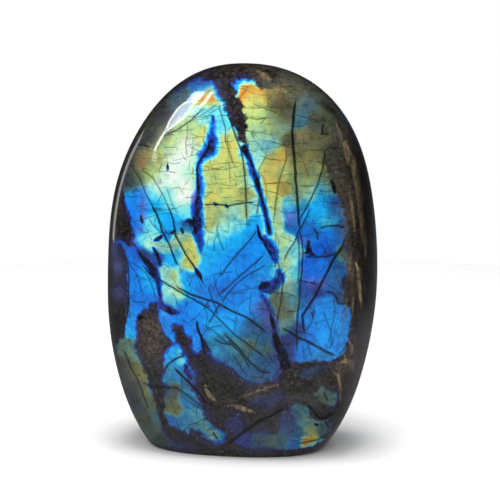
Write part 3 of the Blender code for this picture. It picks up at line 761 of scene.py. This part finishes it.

# %% [markdown]
# Veins. Long beige veins run down the right side, and a few cream ones cross the foot. They are laid like
# the fissures, with a width at every point. The right side also has a band of streaks, which starts at one
# line of the drawing and fades out towards the foot.

# %% Veins
# Each: how pale it is, then points of x, z and half width
VEINS = (
    (0.7, ((33.8, 97, 0.3), (35.6, 92, 0.8), (37, 86, 0.9), (38.2, 80, 0.9), (39, 74, 0.8),
        (39.8, 68, 0.7), (40.3, 62, 0.3))),
    (1.3, ((37.6, 61, 0.2), (38.6, 58.4, 0.5), (38.9, 53.7, 0.55), (39.2, 49.7, 0.5), (39.2, 46, 0.2))),
    (0.5, ((30.5, 103, 0.2), (33, 97, 0.5), (35, 90, 0.3))),
    (0.5, ((35.5, 82, 0.2), (36.4, 76, 0.5), (37.2, 70, 0.3))),
    (0.65, ((31.6, 27.6, 0.2), (33, 26, 0.45), (33.6, 22, 0.4), (33.4, 17, 0.2))),
    (0.6, ((35.6, 37, 0.2), (36.8, 35, 0.5), (36.6, 32.6, 0.3))),
    (0.55, ((33, 30.2, 0.2), (35, 30.8, 0.8), (36.8, 29.4, 0.8), (36.8, 27, 0.4))),
    (0.65, ((-6.8, 22, 0.5), (-5.6, 20.6, 0.9), (-4.2, 19, 0.5), (-3, 18, 0.1))),
    (0.7, ((-7, 23.4, 0.2), (-6.2, 22.8, 0.2))),
    (0.45, ((0.4, 17.2, 0.4), (3.4, 17, 0.9), (6.4, 16, 0.8), (8.6, 15.2, 0.3))),
    (0.35, ((4.8, 20.3, 0.3), (10, 22.4, 0.4), (15.4, 24.1, 0.3))),
    (0.4, ((6.4, 118, 0.3), (9, 116.6, 0.9), (11, 115.4, 0.3))),
    (0.4, ((13, 112.6, 0.3), (15.4, 112, 0.8), (17, 111, 0.3))),
)
into_vein = np.full(len(draw_x), -FAR)
paleness = np.zeros(len(draw_x))
for pale, points in VEINS:
    edge = along_widths(points)
    paleness = np.where(-edge > into_vein, pale, paleness)
    into_vein = np.maximum(into_vein, -edge)
BAND_START = 32.0
BAND_WIDTH = 4.0
BAND_FOOT = 18.0
BAND_FADE = 12.0
in_from_left = np.clip((draw_x - BAND_START) / BAND_WIDTH, 0, 1)
band = in_from_left * np.clip((draw_z - BAND_FOOT) / BAND_FADE, 0, 1)
print(len(VEINS), "veins")

# %% [markdown]
# All of it is kept on the mesh as attributes, which a material can read by name.

# %% Keep the drawing on the mesh
def keep(name, first, second, third):
    attribute = stone_data.attributes.new(name, "FLOAT_VECTOR", "POINT")
    values = np.stack([first, second, third], 1).astype(np.float32)
    attribute.data.foreach_set("vector", values.ravel())


FRONT_EDGE = 0.12
front_share = np.clip(0.5 - deep / FRONT_EDGE / 2, 0, 1)
keep("flash", spacing, strength, halo)
keep("rock", from_dark, into_fissure, front_share)
keep("place", draw_x, draw_z, deep)
keep("veins", into_vein, paleness, band)
keep("tints", no_rim, grey_green, brown)
keep("more_tints", bleached, mauve, pale_rock)
for number, layer in enumerate(crack_layers):
    keep(f"cracks_{number}", *lay_cracks(layer))
print("attributes", [a.name for a in stone_data.attributes if a.data_type == "FLOAT_VECTOR"])

# %% [markdown]
# The baked textures of the finished model are laid out by a UV map. The front gets most of the sheet,
# because its pattern is the finest. Both halves are unrolled from the same square that the cube's
# faces are, so nothing overlaps and the rim isn't squeezed.

# %% Lay out the surface
FRONT_SHEET = (0.01, 0.01, 0.64, 0.98)
BACK_SHEET = (0.67, 0.01, 0.32, 0.98)
RIM_SHARE = 0.10


def unrolled():
    """Each point's place in the square, from -1 to 1 both ways, with the rim outermost."""
    reach = np.clip(np.minimum(outline, RIM_START) / RIM_START * PACKED, -1, 1)
    off_centre = np.arcsin(reach) / (math.pi / 2 * PACKING)
    rim_depth = (1 - RIM_START**SHOULDER_SQUARENESS) ** (1 / SHOULDER_SQUARENESS)
    past_rim = np.where(outline > RIM_START, 1 - np.clip(np.abs(deep) / rim_depth, 0, 1), 0)
    off_centre = off_centre * (1 + RIM_SHARE * past_rim) / (1 + RIM_SHARE)
    widest = np.maximum(np.maximum(np.abs(across), np.abs(height_share)), 1e-9)
    return across / widest * off_centre, height_share / widest * off_centre


square_x, square_z = unrolled()
face_count = len(stone_data.polygons)
loop_points = np.zeros(len(stone_data.loops), int)
stone_data.loops.foreach_get("vertex_index", loop_points)
loop_totals = np.zeros(face_count, int)
stone_data.polygons.foreach_get("loop_total", loop_totals)
face_of_loop = np.repeat(np.arange(face_count), loop_totals)
face_depth = np.bincount(face_of_loop, deep[loop_points]) / loop_totals
at_front = (face_depth < 0)[face_of_loop]
sheet = np.where(at_front[:, None], FRONT_SHEET, BACK_SHEET)
uv = np.stack([
    sheet[:, 0] + sheet[:, 2] * (square_x[loop_points] + 1) / 2,
    sheet[:, 1] + sheet[:, 3] * (square_z[loop_points] + 1) / 2,
], 1)
uv_map = stone_data.uv_layers.new(name="OFBake")
uv_map.data.foreach_set("uv", uv.astype(np.float32).ravel())
print("front faces", int((face_depth < 0).sum()), "back faces", int((face_depth >= 0).sum()))

# %% [markdown]
# Relief and the saw cut. The open fissures are shallow real hollows, so their edges catch the light.
# Then everything below the cut is pressed flat, with the small round arris that a lapidary leaves, and
# the finished form is set exactly into the frame's box.

# %% Finish the form
FISSURE_DEPTH = 0.22
STAY_INSIDE = 0.9995

hollow = np.clip(into_fissure, 0, 1) * FISSURE_DEPTH * front_share
normals = points_of(stone_data, "normal")
form = uncut - normals * hollow[:, None]
level = form[:, 2]
rounded = (level + BASE_ARRIS) ** 2 / (4 * BASE_ARRIS)
form[:, 2] = np.where(level >= BASE_ARRIS, level, np.where(level <= -BASE_ARRIS, 0.0, rounded))
frame_low, frame_high = np.array(box_low), np.array(box_high)
low, high = form.min(0) * MM, form.max(0) * MM
middle = (frame_low + frame_high) / 2
fit = (frame_high - frame_low) / (high - low) * STAY_INSIDE
placed = (form * MM - (low + high) / 2) * fit + middle
placed[:, 2] -= placed[:, 2].min() - frame_low[2]
write_points(stone_data, placed)
CRISP_EDGE_DEGREES = 40
stone_data.shade_smooth()
stone_data.set_sharp_from_angle(angle=math.radians(CRISP_EDGE_DEGREES))
print("fitted by", fit.round(4))

# %% [markdown]
# Shader maths reads best as plain sums. A Wire is one number in a material: adding or multiplying two of
# them adds a Math node. The Bench makes every other node from its type, its settings and its inputs.

# %% A bench for materials
def paint(code):
    """A colour from its web code, as the linear numbers that a shader works in."""
    channels = [int(code[start:start + 2], 16) / 255 for start in (0, 2, 4)]
    linear = [c / 12.92 if c <= 0.04045 else ((c + 0.055) / 1.055) ** 2.4 for c in channels]
    return (*linear, 1.0)


class Wire:
    """One output of a node. Python's own operators on it add Math nodes."""

    def __init__(self, bench, socket):
        self.bench = bench
        self.socket = socket

    def maths(self, operation, first, second):
        return self.bench.node("ShaderNodeMath", {"operation": operation}, {0: first, 1: second})

    def __add__(self, other):
        return self.maths("ADD", self, other)

    def __sub__(self, other):
        return self.maths("SUBTRACT", self, other)

    def __rsub__(self, other):
        return self.maths("SUBTRACT", other, self)

    def __mul__(self, other):
        return self.maths("MULTIPLY", self, other)

    def __truediv__(self, other):
        return self.maths("DIVIDE", self, other)

    def __pow__(self, other):
        return self.maths("POWER", self, other)

    __radd__ = __add__
    __rmul__ = __mul__

    def least(self, other):
        return self.maths("MINIMUM", self, other)

    def most(self, other):
        return self.maths("MAXIMUM", self, other)

    def size(self):
        return self.maths("ABSOLUTE", self, 0.0)

    def fraction(self):
        return self.maths("FRACT", self, 0.0)

    def within(self, low, high):
        """0 below low, 1 above high, and a smooth step between. Swapped ends turn it round."""
        settings = {"interpolation_type": "SMOOTHSTEP"}
        if low <= high:
            return self.bench.node("ShaderNodeMapRange", settings, {0: self, 1: low, 2: high})
        return 1 - self.within(high, low)


class Bench:
    """Makes the nodes of one material, or of the world."""

    def __init__(self, owner, shader="Principled BSDF"):
        owner.use_nodes = True
        self.tree = owner.node_tree
        self.shader = self.tree.nodes[shader]

    def dress(self, **inputs):
        """Feeds the shader's own sockets. In their names here, _ stands for a space."""
        for name, value in inputs.items():
            self.feed(self.shader.inputs[name.replace("_", " ")], value)

    def feed(self, socket, value):
        """Links a wire to a socket, or sets the socket's own number, colour or web code of a colour."""
        if isinstance(value, Wire):
            self.tree.links.new(value.socket, socket)
        else:
            socket.default_value = paint(value) if isinstance(value, str) else value

    def node(self, kind, settings=None, inputs=None, output=0):
        made = self.tree.nodes.new(kind)
        for name, value in (settings or {}).items():
            if name == "stops":
                self.set_stops(made.color_ramp, value)
            else:
                setattr(made, name, value)
        for key, value in (inputs or {}).items():
            self.feed(made.inputs[key], value)
        return Wire(self, made.outputs[output])

    def set_stops(self, ramp, stops):
        for number, (place, colour) in enumerate(stops):
            stop = ramp.elements[number] if number < 2 else ramp.elements.new(place)
            stop.position = place
            stop.color = colour

    def mix(self, factor, first, second, blend="MIX"):
        settings = {"data_type": "RGBA", "blend_type": blend}
        return self.node("ShaderNodeMix", settings, {0: factor, 6: first, 7: second}, 2)

    def attribute(self, name):
        """The three numbers of an attribute of the mesh."""
        settings = {"attribute_type": "GEOMETRY", "attribute_name": name}
        vector = self.node("ShaderNodeAttribute", settings, {}, "Vector")
        return [self.node("ShaderNodeSeparateXYZ", {}, {0: vector}, axis) for axis in (0, 1, 2)]

    def place(self, scale, turn=(0, 0, 0)):
        """Object coordinates, in mm divided by the feature's size along each axis."""
        from_origin = self.node("ShaderNodeTexCoord", {}, {}, "Object")
        inputs = {0: from_origin, "Rotation": turn, "Scale": [1 / (size * MM) for size in scale]}
        return self.node("ShaderNodeMapping", {"vector_type": "POINT"}, inputs)

    def noise(self, size, detail=3.0, turn=(0, 0, 0)):
        """A soft noise from 0 to 1 whose lumps are this many mm across."""
        size = size if isinstance(size, tuple) else (size, size, size)
        inputs = {"Vector": self.place(size, turn), "Scale": 1.0, "Detail": detail}
        return self.node("ShaderNodeTexNoise", {}, inputs, "Fac")


print("bench ready, white is", paint("FFFFFF"))

# %% [markdown]
# The stone's finish. The spacing of the layers is turned into a colour by a ramp that runs as the flash
# does on the real thing: violet, royal blue, azure, cyan, a pale glow, lime, straw and gold.

# %% The colours of the flash
FLASH_STOPS = (
    (0.00, "0E1238"), (0.10, "2C38A8"), (0.20, "0848CC"), (0.30, "0066DC"), (0.40, "008CEE"),
    (0.50, "0EB4F2"), (0.60, "68DCE8"), (0.70, "A4E6CC"), (0.80, "B0D484"), (0.90, "D0CC66"),
    (1.00, "D88C30"),
)
WIDEST_SPACING = 10.0
labradorite = bpy.data.materials.new("polished labradorite")
bench = Bench(labradorite)
flash_ramp = {"stops": [(stop, paint(code)) for stop, code in FLASH_STOPS]}


def flash_colour(spacing_wire):
    """The colour that layers this far apart throw back."""
    return bench.node("ShaderNodeValToRGB", flash_ramp, {0: spacing_wire / WIDEST_SPACING}, "Color")


print(len(FLASH_STOPS), "colours of flash")

# %% [markdown]
# The flash. Noise is added to the spacing and not to the colour, so that the patches shade into each
# other through the colours that lie between. Near rock and fissures the spacing is held down by two
# caps, which makes the blue rims. The strength fades out at the ragged edge of the rock and at the rim.

# %% Spacing and strength
raw_spacing, raw_strength, halo_wire = bench.attribute("flash")
rock_gap, fissure, front = bench.attribute("rock")
draw_across, draw_up, round_to_back = bench.attribute("place")
no_rim_here, grey_green_here, brown_here = bench.attribute("tints")
bleached_here, mauve_here, pale_here = bench.attribute("more_tints")

cloud = bench.noise(7.0) - 0.5
mottle = bench.noise(1.6, 4.0) - 0.5
fine = bench.noise(0.45, 2.0) - 0.5
ragged = (bench.noise(3.2, 3.0) - 0.5) * 2.6 + mottle * 1.4
block_inputs = {"Vector": bench.place((3.4, 9.0, 8.5), (0, 0.5, 0)), "Scale": 1.0}
blocks = bench.node("ShaderNodeTexVoronoi", {}, block_inputs, "Color")
block = bench.node("ShaderNodeSeparateXYZ", {}, {0: blocks}, 0) - 0.5
drift = cloud * 1.2 + mottle * 1.2 + block * 0.35

rock_edge = rock_gap + ragged
halo_cap = (halo_wire + ragged * 0.22).most(0.0) ** 0.75 * 9.0 + 1.8
rim_cap = rock_edge.most(0.0) * 3.0 + 1.2 + no_rim_here * 9.0
front_spacing = raw_spacing + 0.15 + drift * (raw_spacing * 0.11 + 0.25)
front_spacing = front_spacing.least(halo_cap).least(rim_cap)
front_strength = (raw_strength * (1.06 + cloud * 0.4 + mottle * 0.8 + fine * 0.4)).most(0.0) ** 1.8
front_strength = front_strength * rock_edge.within(-0.3, 0.7) * round_to_back.within(-0.2, -0.6)
print("nodes so far", len(bench.tree.nodes))

# %% [markdown]
# The dark body of the stone is brown-black feldspar with tan and grey-green specks, and a violet haze
# near the flash. Specks of a millimetre and smaller flakes give the grain. Patches of some millimetres
# say where each tint may show.

# %% The dark body
specks = bench.noise(1.1, 5.0)
flakes = bench.noise(0.7, 2.0)
patches = bench.noise(4.2, 4.0)
body = bench.mix(specks.within(0.40, 0.70), "100E0D", "332E28")
body = bench.mix(patches.within(0.45, 0.70) * 0.5, body, "222C2B")
body = bench.mix(grey_green_here * patches.within(0.30, 0.60) * 0.75, body, "525C4C")
brown_specks = specks.within(0.40, 0.62) * patches.within(0.35, 0.60)
body = bench.mix(brown_here * brown_specks * 0.75, body, "58452F")
haze = rock_gap.within(-3.2, 0.2) * (1 - no_rim_here) * patches.within(0.30, 0.55)
body = bench.mix(haze * 0.6, body, "2A2850")
pale_body = bench.mix(specks.within(0.35, 0.65), "38322E", "5E544A")
body = bench.mix(pale_here * 0.8, body, pale_body)
body = bench.mix(flakes.within(0.62, 0.74) * 0.35, body, "8A7860")
print("nodes so far", len(bench.tree.nodes))

# %% [markdown]
# Flash over body. Bleached places go nearly white, but only where the spacing isn't held down, so the
# blue rims stay. The mauve film lies over flash and rock alike.

# %% Flash over body
front_colour = flash_colour(front_spacing)
flash = bench.mix(bleached_here * 0.8, front_colour, "FAF4F0")
flash = bench.mix(bleached_here * front_spacing.within(6.2, 5.0), flash, front_colour)
surface = bench.mix(front_strength, body, flash)
surface = bench.mix(mauve_here * (0.75 + cloud), surface, "6C78CC")
print("nodes so far", len(bench.tree.nodes))

# %% [markdown]
# Hairlines. Fine parallel splits run under the polish, in sets that each have their own tilt. One set is
# a ruler: the way across the lines divided by their gap, of which only the fraction counts. A slow noise
# bends the ruler, a quick one makes each line tremble, and a third breaks the lines up.

# %% Hairlines
# Each set: tilt in degrees, gap and width in mm, darkness, then the heights where it starts and ends
HAIRLINES = (
    (4, 2.9, 0.24, 0.75, 60, 72), (-5, 4.7, 0.28, 0.8, 56, 78), (52, 5.2, 0.26, 0.8, 70, 55),
    (-33, 6.4, 0.28, 0.8, 72, 58), (80, 7.5, 0.24, 0.8, 0, 10), (-62, 8, 0.24, 0.7, 0, 10),
)
HAIR_SOFTNESS = 0.2
SLOW_BEND = 18.0
QUICK_BEND = 2.6
fine_dark = 0.0
for tilt, gap, width, dark, start, end in HAIRLINES:
    lean = math.radians(tilt)
    run = draw_up * math.cos(lean) - draw_across * math.sin(lean)
    bend = bench.noise(SLOW_BEND, 1.0, (0, lean, 0)) * 3.0 + bench.noise(QUICK_BEND, 2.0) * 0.16
    away = ((run / gap + bend).fraction() - 0.5).size() * gap
    line = ((width / 2 - away) / HAIR_SOFTNESS + 0.5).within(0.0, 1.0)
    along = bench.noise((7.0, 3.0, 2.4), 2.0, (0, lean, 0)).within(0.46, 0.58)
    fine_dark = (line * along * draw_up.within(start, end) * dark).most(fine_dark)
print(len(HAIRLINES), "sets of hairlines")

# %% [markdown]
# Cracks and fissures. A crack is dark where the distance to its line is less than half its width. Its
# plane dips under the polish on one side, and there it casts a blue shade. Cracks and hairlines are
# multiplied over what lies under them, which darkens it and keeps its hue. The fissures have a body of
# their own, black with brown and blue specks.

# %% Cracks and fissures
SHADE_UNDER_POLISH = 0.55
crack_dark = 0.0
shade = 0.0
for number in range(len(crack_layers)):
    signed, half_width, dark = bench.attribute(f"cracks_{number}")
    reach_in = half_width * (1.25 + mottle * 1.6) - (signed + fine * 0.2).size()
    crack_dark = ((reach_in / EDGE_SOFTNESS + 0.5).within(0.0, 1.0) * dark).most(crack_dark)
    one_side = signed.within(-0.1, 0.05) * signed.within(1.0, 0.1) * half_width.within(-0.2, 0.1)
    shade = (one_side * dark * SHADE_UNDER_POLISH).most(shade)
surface = bench.mix(shade * (0.5 + cloud), surface, "0A1A34")
surface = bench.mix(fine_dark, surface, "767A66", "MULTIPLY")
surface = bench.mix(crack_dark, surface, "2A2E34", "MULTIPLY")

in_fissure = (fissure + mottle * 5.0 + fine * 2.5).within(-1.0, 0.9)
blue_specks = bench.noise(1.3, 4.0).within(0.52, 0.66) * patches.within(0.42, 0.58)
inside = bench.mix(specks.within(0.5, 0.7) * 0.5, "0C0D14", "342C28")
inside = bench.mix(blue_specks * front_strength * 0.8, inside, "123C96")
surface = bench.mix(in_fissure, surface, inside)
print("nodes so far", len(bench.tree.nodes))

# %% [markdown]
# The band of streaks and the veins lie over all of that. A noise that is long upwards and narrow across
# makes the streaks. The veins are the same streaks in a paler colour, cut out by their outlines.

# %% Streaks and veins
streaks = bench.noise((0.9, 4.0, 9.0), 4.0, (0, 0.08, 0))
vein_gap, pale, in_band = bench.attribute("veins")
surface = bench.mix(in_band * streaks.within(0.42, 0.62) * 0.7, surface, "4C4234")
pale_streaks = streaks.within(0.58, 0.74) * specks.within(0.35, 0.6)
surface = bench.mix(in_band * pale_streaks * 0.8, surface, "86765E")
in_vein = (vein_gap + mottle * 0.6 + fine * 0.3).within(-0.1, 0.35)
patchy = streaks.within(0.25, 0.6) * (0.5 + specks.within(0.40, 0.58) * 0.5)
surface = bench.mix(in_vein * pale * patchy, surface, "B09872")
print("nodes so far", len(bench.tree.nodes))

# %% [markdown]
# On the sides and the back, which the show face hides, the same stone goes on with its own slow clouds of
# muted flash. Round the left and right rim the colour is painted near-black: painted shade, standing for the
# dark room that the turned-away rim reflects. Towards the foot on the right it is a grey instead, a painted
# reflection of the paper.

# %% The back, and painted shade round the rim
back_body = bench.mix(bench.noise(18.0, 5.0).within(0.35, 0.65), "1C1E22", "38382F")
back_body = bench.mix(specks.within(0.52, 0.72) * 0.4, back_body, "5E564A")
back_spacing = 1.8 + bench.noise(20.0, 4.0) * 5.5 + mottle * 0.8
back_clouds = bench.noise((17.0, 17.0, 34.0), 3.0, (0, 0.5, 0)).within(0.48, 0.74)
back_colour = bench.mix(back_clouds * (0.55 + mottle * 0.8), back_body, flash_colour(back_spacing))
back_colour = bench.mix(fine_dark, back_colour, "121214")

# Painted shade: near-black round the left and right rim, and at the lower right the grey of a painted
# reflection of the paper.
rim = round_to_back.within(-0.72, -0.40) * round_to_back.within(0.72, 0.40)
rim = rim * draw_across.size().within(31, 39)
painted_floor_reflection = draw_across.within(30, 36) * draw_up.within(50, 36)
rim_shade_and_reflection = bench.mix(painted_floor_reflection, "0C0C0E", "403C44")
surface = bench.mix(front, back_colour, bench.mix(rim * 0.85, surface, rim_shade_and_reflection))
print("nodes so far", len(bench.tree.nodes))

# %% [markdown]
# The saw cut under the foot is left as the saw leaves it: grey, matt and finely scored. Everywhere else
# a clear coat stands for the polish, and the rougher coat-free shader below it for the stone inside. The
# coat is thin in the open fissures, which no wheel reaches.

# %% Sawn base and polish
sawn = draw_up.within(-0.6, -1.6)
saw_marks = bench.noise((40.0, 0.7, 40.0), 3.0, (0, 0, 0.12)).within(0.35, 0.65)
sawn_face = bench.mix(saw_marks, "302F2E", "4E4B46")
sawn_face = bench.mix(specks.within(0.45, 0.65) * 0.6, sawn_face, "6C655A")
surface = bench.mix(sawn * 0.75, surface, sawn_face)
relief = specks + sawn * saw_marks * 3.0
bump = bench.node("ShaderNodeBump", {}, {"Strength": 0.15, "Distance": 0.2 * MM, "Height": relief}, "Normal")
roughness = 0.30 + specks * 0.10 + sawn * 0.30
polish = (1.0 - in_fissure * front * 0.7) * (1.0 - sawn)
REFRACTION = 1.56
bench.dress(Base_Color=surface, Roughness=roughness, Normal=bump, IOR=REFRACTION, Specular_IOR_Level=0.15)
bench.dress(Coat_Weight=polish, Coat_Roughness=0.03, Coat_IOR=REFRACTION)
print("nodes in the stone's material", len(bench.tree.nodes))

# %% [markdown]
# The finished piece takes the place of the plain solid in the frame. Its object sits at the origin,
# unturned and unscaled, and it moves with the only body there is.

# %% Set the stone in its frame
stone_data.materials.append(labradorite)
stone = bpy.data.objects.new("labradorite", stone_data)
scene.collection.objects.link(stone)
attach(stone, "root")
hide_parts("labradorite_stone")
stone_data.calc_loop_triangles()
print("triangles", len(stone_data.loop_triangles))

# %% [markdown]
# The stage: a round sheet of white paper that the stone stands on. It is kept out of reflections, where
# its far edge would draw a hard horizon across the polish. The world below stands in for it there.

# %% Floor
FLOOR_RADIUS = 0.40
FLOOR_SIDES = 96

floor_data = bpy.data.meshes.new("floor")
shape = bmesh.new()
bmesh.ops.create_circle(shape, cap_ends=True, segments=FLOOR_SIDES, radius=FLOOR_RADIUS)
shape.to_mesh(floor_data)
shape.free()
paper = bpy.data.materials.new("white paper")
Bench(paper).dress(Base_Color="F4F4F4", Roughness=0.9, Specular_IOR_Level=0.1)
floor_data.materials.append(paper)
floor = bpy.data.objects.new("floor", floor_data)
floor.visible_glossy = False
scene.collection.objects.link(floor)
print("floor", FLOOR_RADIUS * 2, "m across")

# %% [markdown]
# The world is white to the camera, dim in reflections, and a soft fill for everything else. A Light
# Path node tells these three apart. The dim reflections keep the rims of the stone dark. Below the
# horizon they are a little brighter, most of all towards the viewer, as a lit table is.

# %% World
SEEN = 1.0
REFLECTED_SKY = 0.012
REFLECTED_TABLE = 0.10
REFLECTED_TABLE_IN_FRONT = 0.14
FILL = 0.48

world = bpy.data.worlds.new("studio")
scene.world = world
sky = Bench(world, "Background")
to_camera = sky.node("ShaderNodeLightPath", {}, {}, "Is Camera Ray")
in_gloss = sky.node("ShaderNodeLightPath", {}, {}, "Is Glossy Ray")
other = 1.0 - to_camera - in_gloss
looking = sky.node("ShaderNodeTexCoord", {}, {}, "Generated")
to_back = sky.node("ShaderNodeSeparateXYZ", {}, {0: looking}, "Y")
upward = sky.node("ShaderNodeSeparateXYZ", {}, {0: looking}, "Z")
table = REFLECTED_TABLE + to_back.within(0.1, -0.7) * REFLECTED_TABLE_IN_FRONT
reflected = REFLECTED_SKY + upward.within(0.05, -0.35) * table
sky.dress(Color="FFFFFF", Strength=to_camera * SEEN + in_gloss * reflected + other * FILL)
print("world set")

# %% [markdown]
# The lights. A large overhead light and a front fill light the stone and the paper evenly and are kept
# out of reflections, as a photographer does by flagging them.

# %% Lights
LIGHT_DISTANCE = 0.9
# name, azimuth, elevation, width, watts. Azimuth 0 is in front of the stone.
LIGHTS = (
    ("front fill", -12, 35, 0.8, 3.4),
    ("overhead", -20, 88, 0.4, 7.0),
)
MIDDLE_OF_STONE = Vector((0, 0, 0.06))


def direction(azimuth, elevation):
    """Unit vector from the stone towards a light. Azimuth 0 is towards the viewer, 90 to the right."""
    across_by, up_by = math.radians(azimuth), math.radians(elevation)
    level_share = math.cos(up_by)
    return Vector((math.sin(across_by) * level_share, -math.cos(across_by) * level_share, math.sin(up_by)))


for name, azimuth, elevation, width, watts in LIGHTS:
    lamp_data = bpy.data.lights.new(name, "AREA")
    lamp_data.size = width
    lamp_data.energy = watts
    lamp = bpy.data.objects.new(name, lamp_data)
    out = direction(azimuth, elevation)
    lamp.location = MIDDLE_OF_STONE + out * LIGHT_DISTANCE
    lamp.rotation_euler = out.to_track_quat("Z", "Y").to_euler()
    lamp.visible_glossy = False
    scene.collection.objects.link(lamp)
print(len(LIGHTS), "lights")

# %% [markdown]
# What the polish shows: a softbox high on the left, with brighter edges and a trailing corner, and a
# narrow bar beside it. Each is a glowing card that only reflections see. Its corners are directions
# from the stone, azimuth and elevation in degrees.

# %% Cards for the reflections
CARD_DISTANCE = 0.9
# name, glow, colour, how much nearer than the rest in m, corners
CARDS = (
    ("softbox top", 14.0, "D0DCFA", 0.005, ((-84, 57), (-74, 59), (-63, 61), (-54, 54), (-63, 50),
        (-72, 47), (-74, 50))),
    ("softbox", 11.0, "D2E0F6", 0.0, ((-84, 57), (-74, 59), (-63, 61), (-54, 54), (-52, 50), (-50, 44),
        (-50, 40), (-53, 38), (-58, 35), (-64, 33), (-67, 34), (-72, 38), (-76, 44), (-74, 50))),
    ("left edge", 15.0, "FFFFF8", 0.01, ((-74, 50), (-76, 44), (-72, 38), (-67, 34), (-65, 35), (-69, 39),
        (-72, 44), (-71, 49))),
    ("right edge", 15.0, "FFFFF8", 0.01, ((-52, 48), (-50, 44), (-49.5, 40), (-53, 37.5), (-58, 35),
        (-64, 32.5), (-63, 34), (-58, 37), (-54, 39.5), (-52.5, 43))),
    ("cross bar", 14.0, "FFFFF8", 0.01, ((-73, 49), (-64, 52), (-57, 55.5), (-55, 53.5), (-63, 50),
        (-72, 47))),
    ("tail", 13.0, "FFFFF8", 0.0, ((-67, 34), (-67, 32), (-68, 29), (-66, 26), (-64, 26.5), (-63, 28.5),
        (-63, 31), (-64, 33))),
    ("faint tail", 4.0, "FFFFF8", 0.0, ((-66, 26), (-63, 23), (-55, 22), (-58, 25), (-62, 27))),
    ("narrow bar", 13.0, "FFFFF8", 0.0, ((-55, 62.5), (-50, 63), (-43, 57.5), (-40, 51), (-43, 47),
        (-45, 47.5), (-45, 52), (-50, 58))),
    ("rim strip", 1.6, "FFFFFF", 0.0, ((-122, 22), (-112, 22), (-112, -4), (-122, -4))),
)
for name, glow, colour, nearer, corners in CARDS:
    card_data = bpy.data.meshes.new(name)
    shape = bmesh.new()
    reach = CARD_DISTANCE - nearer
    shape.faces.new([shape.verts.new(MIDDLE_OF_STONE + direction(*corner) * reach) for corner in corners])
    bmesh.ops.triangulate(shape, faces=shape.faces[:])
    shape.to_mesh(card_data)
    shape.free()
    card_finish = bpy.data.materials.new(name)
    Bench(card_finish).dress(Base_Color="000000", Emission_Color=colour, Emission_Strength=glow)
    card_data.materials.append(card_finish)
    card = bpy.data.objects.new(name, card_data)
    card.visible_camera = card.visible_diffuse = card.visible_shadow = card.visible_transmission = False
    scene.collection.objects.link(card)
print(len(CARDS), "cards")

# %% [markdown]
# The camera stands where the photograph was taken from: a little to the right of the middle and a
# little above it, some half a metre away, with a long lens.

# %% Camera
CAMERA_AZIMUTH = 10
CAMERA_ELEVATION = 8
CAMERA_DISTANCE = 0.515
AIM_ACROSS = 0.0024
AIM_UP = 0.0609
LENS = 115.46

back_axis = direction(CAMERA_AZIMUTH, CAMERA_ELEVATION)
right_axis = Vector((math.cos(math.radians(CAMERA_AZIMUTH)), math.sin(math.radians(CAMERA_AZIMUTH)), 0))
up_axis = back_axis.cross(right_axis)
camera_data = bpy.data.cameras.new("camera")
camera_data.lens = LENS
camera = bpy.data.objects.new("camera", camera_data)
camera.location = right_axis * AIM_ACROSS + up_axis * AIM_UP + back_axis * CAMERA_DISTANCE
camera.rotation_euler = Matrix((right_axis, up_axis, back_axis)).transposed().to_euler()
scene.collection.objects.link(camera)
scene.camera = camera
scene.view_settings.view_transform = "Standard"
print("camera at", camera.location)
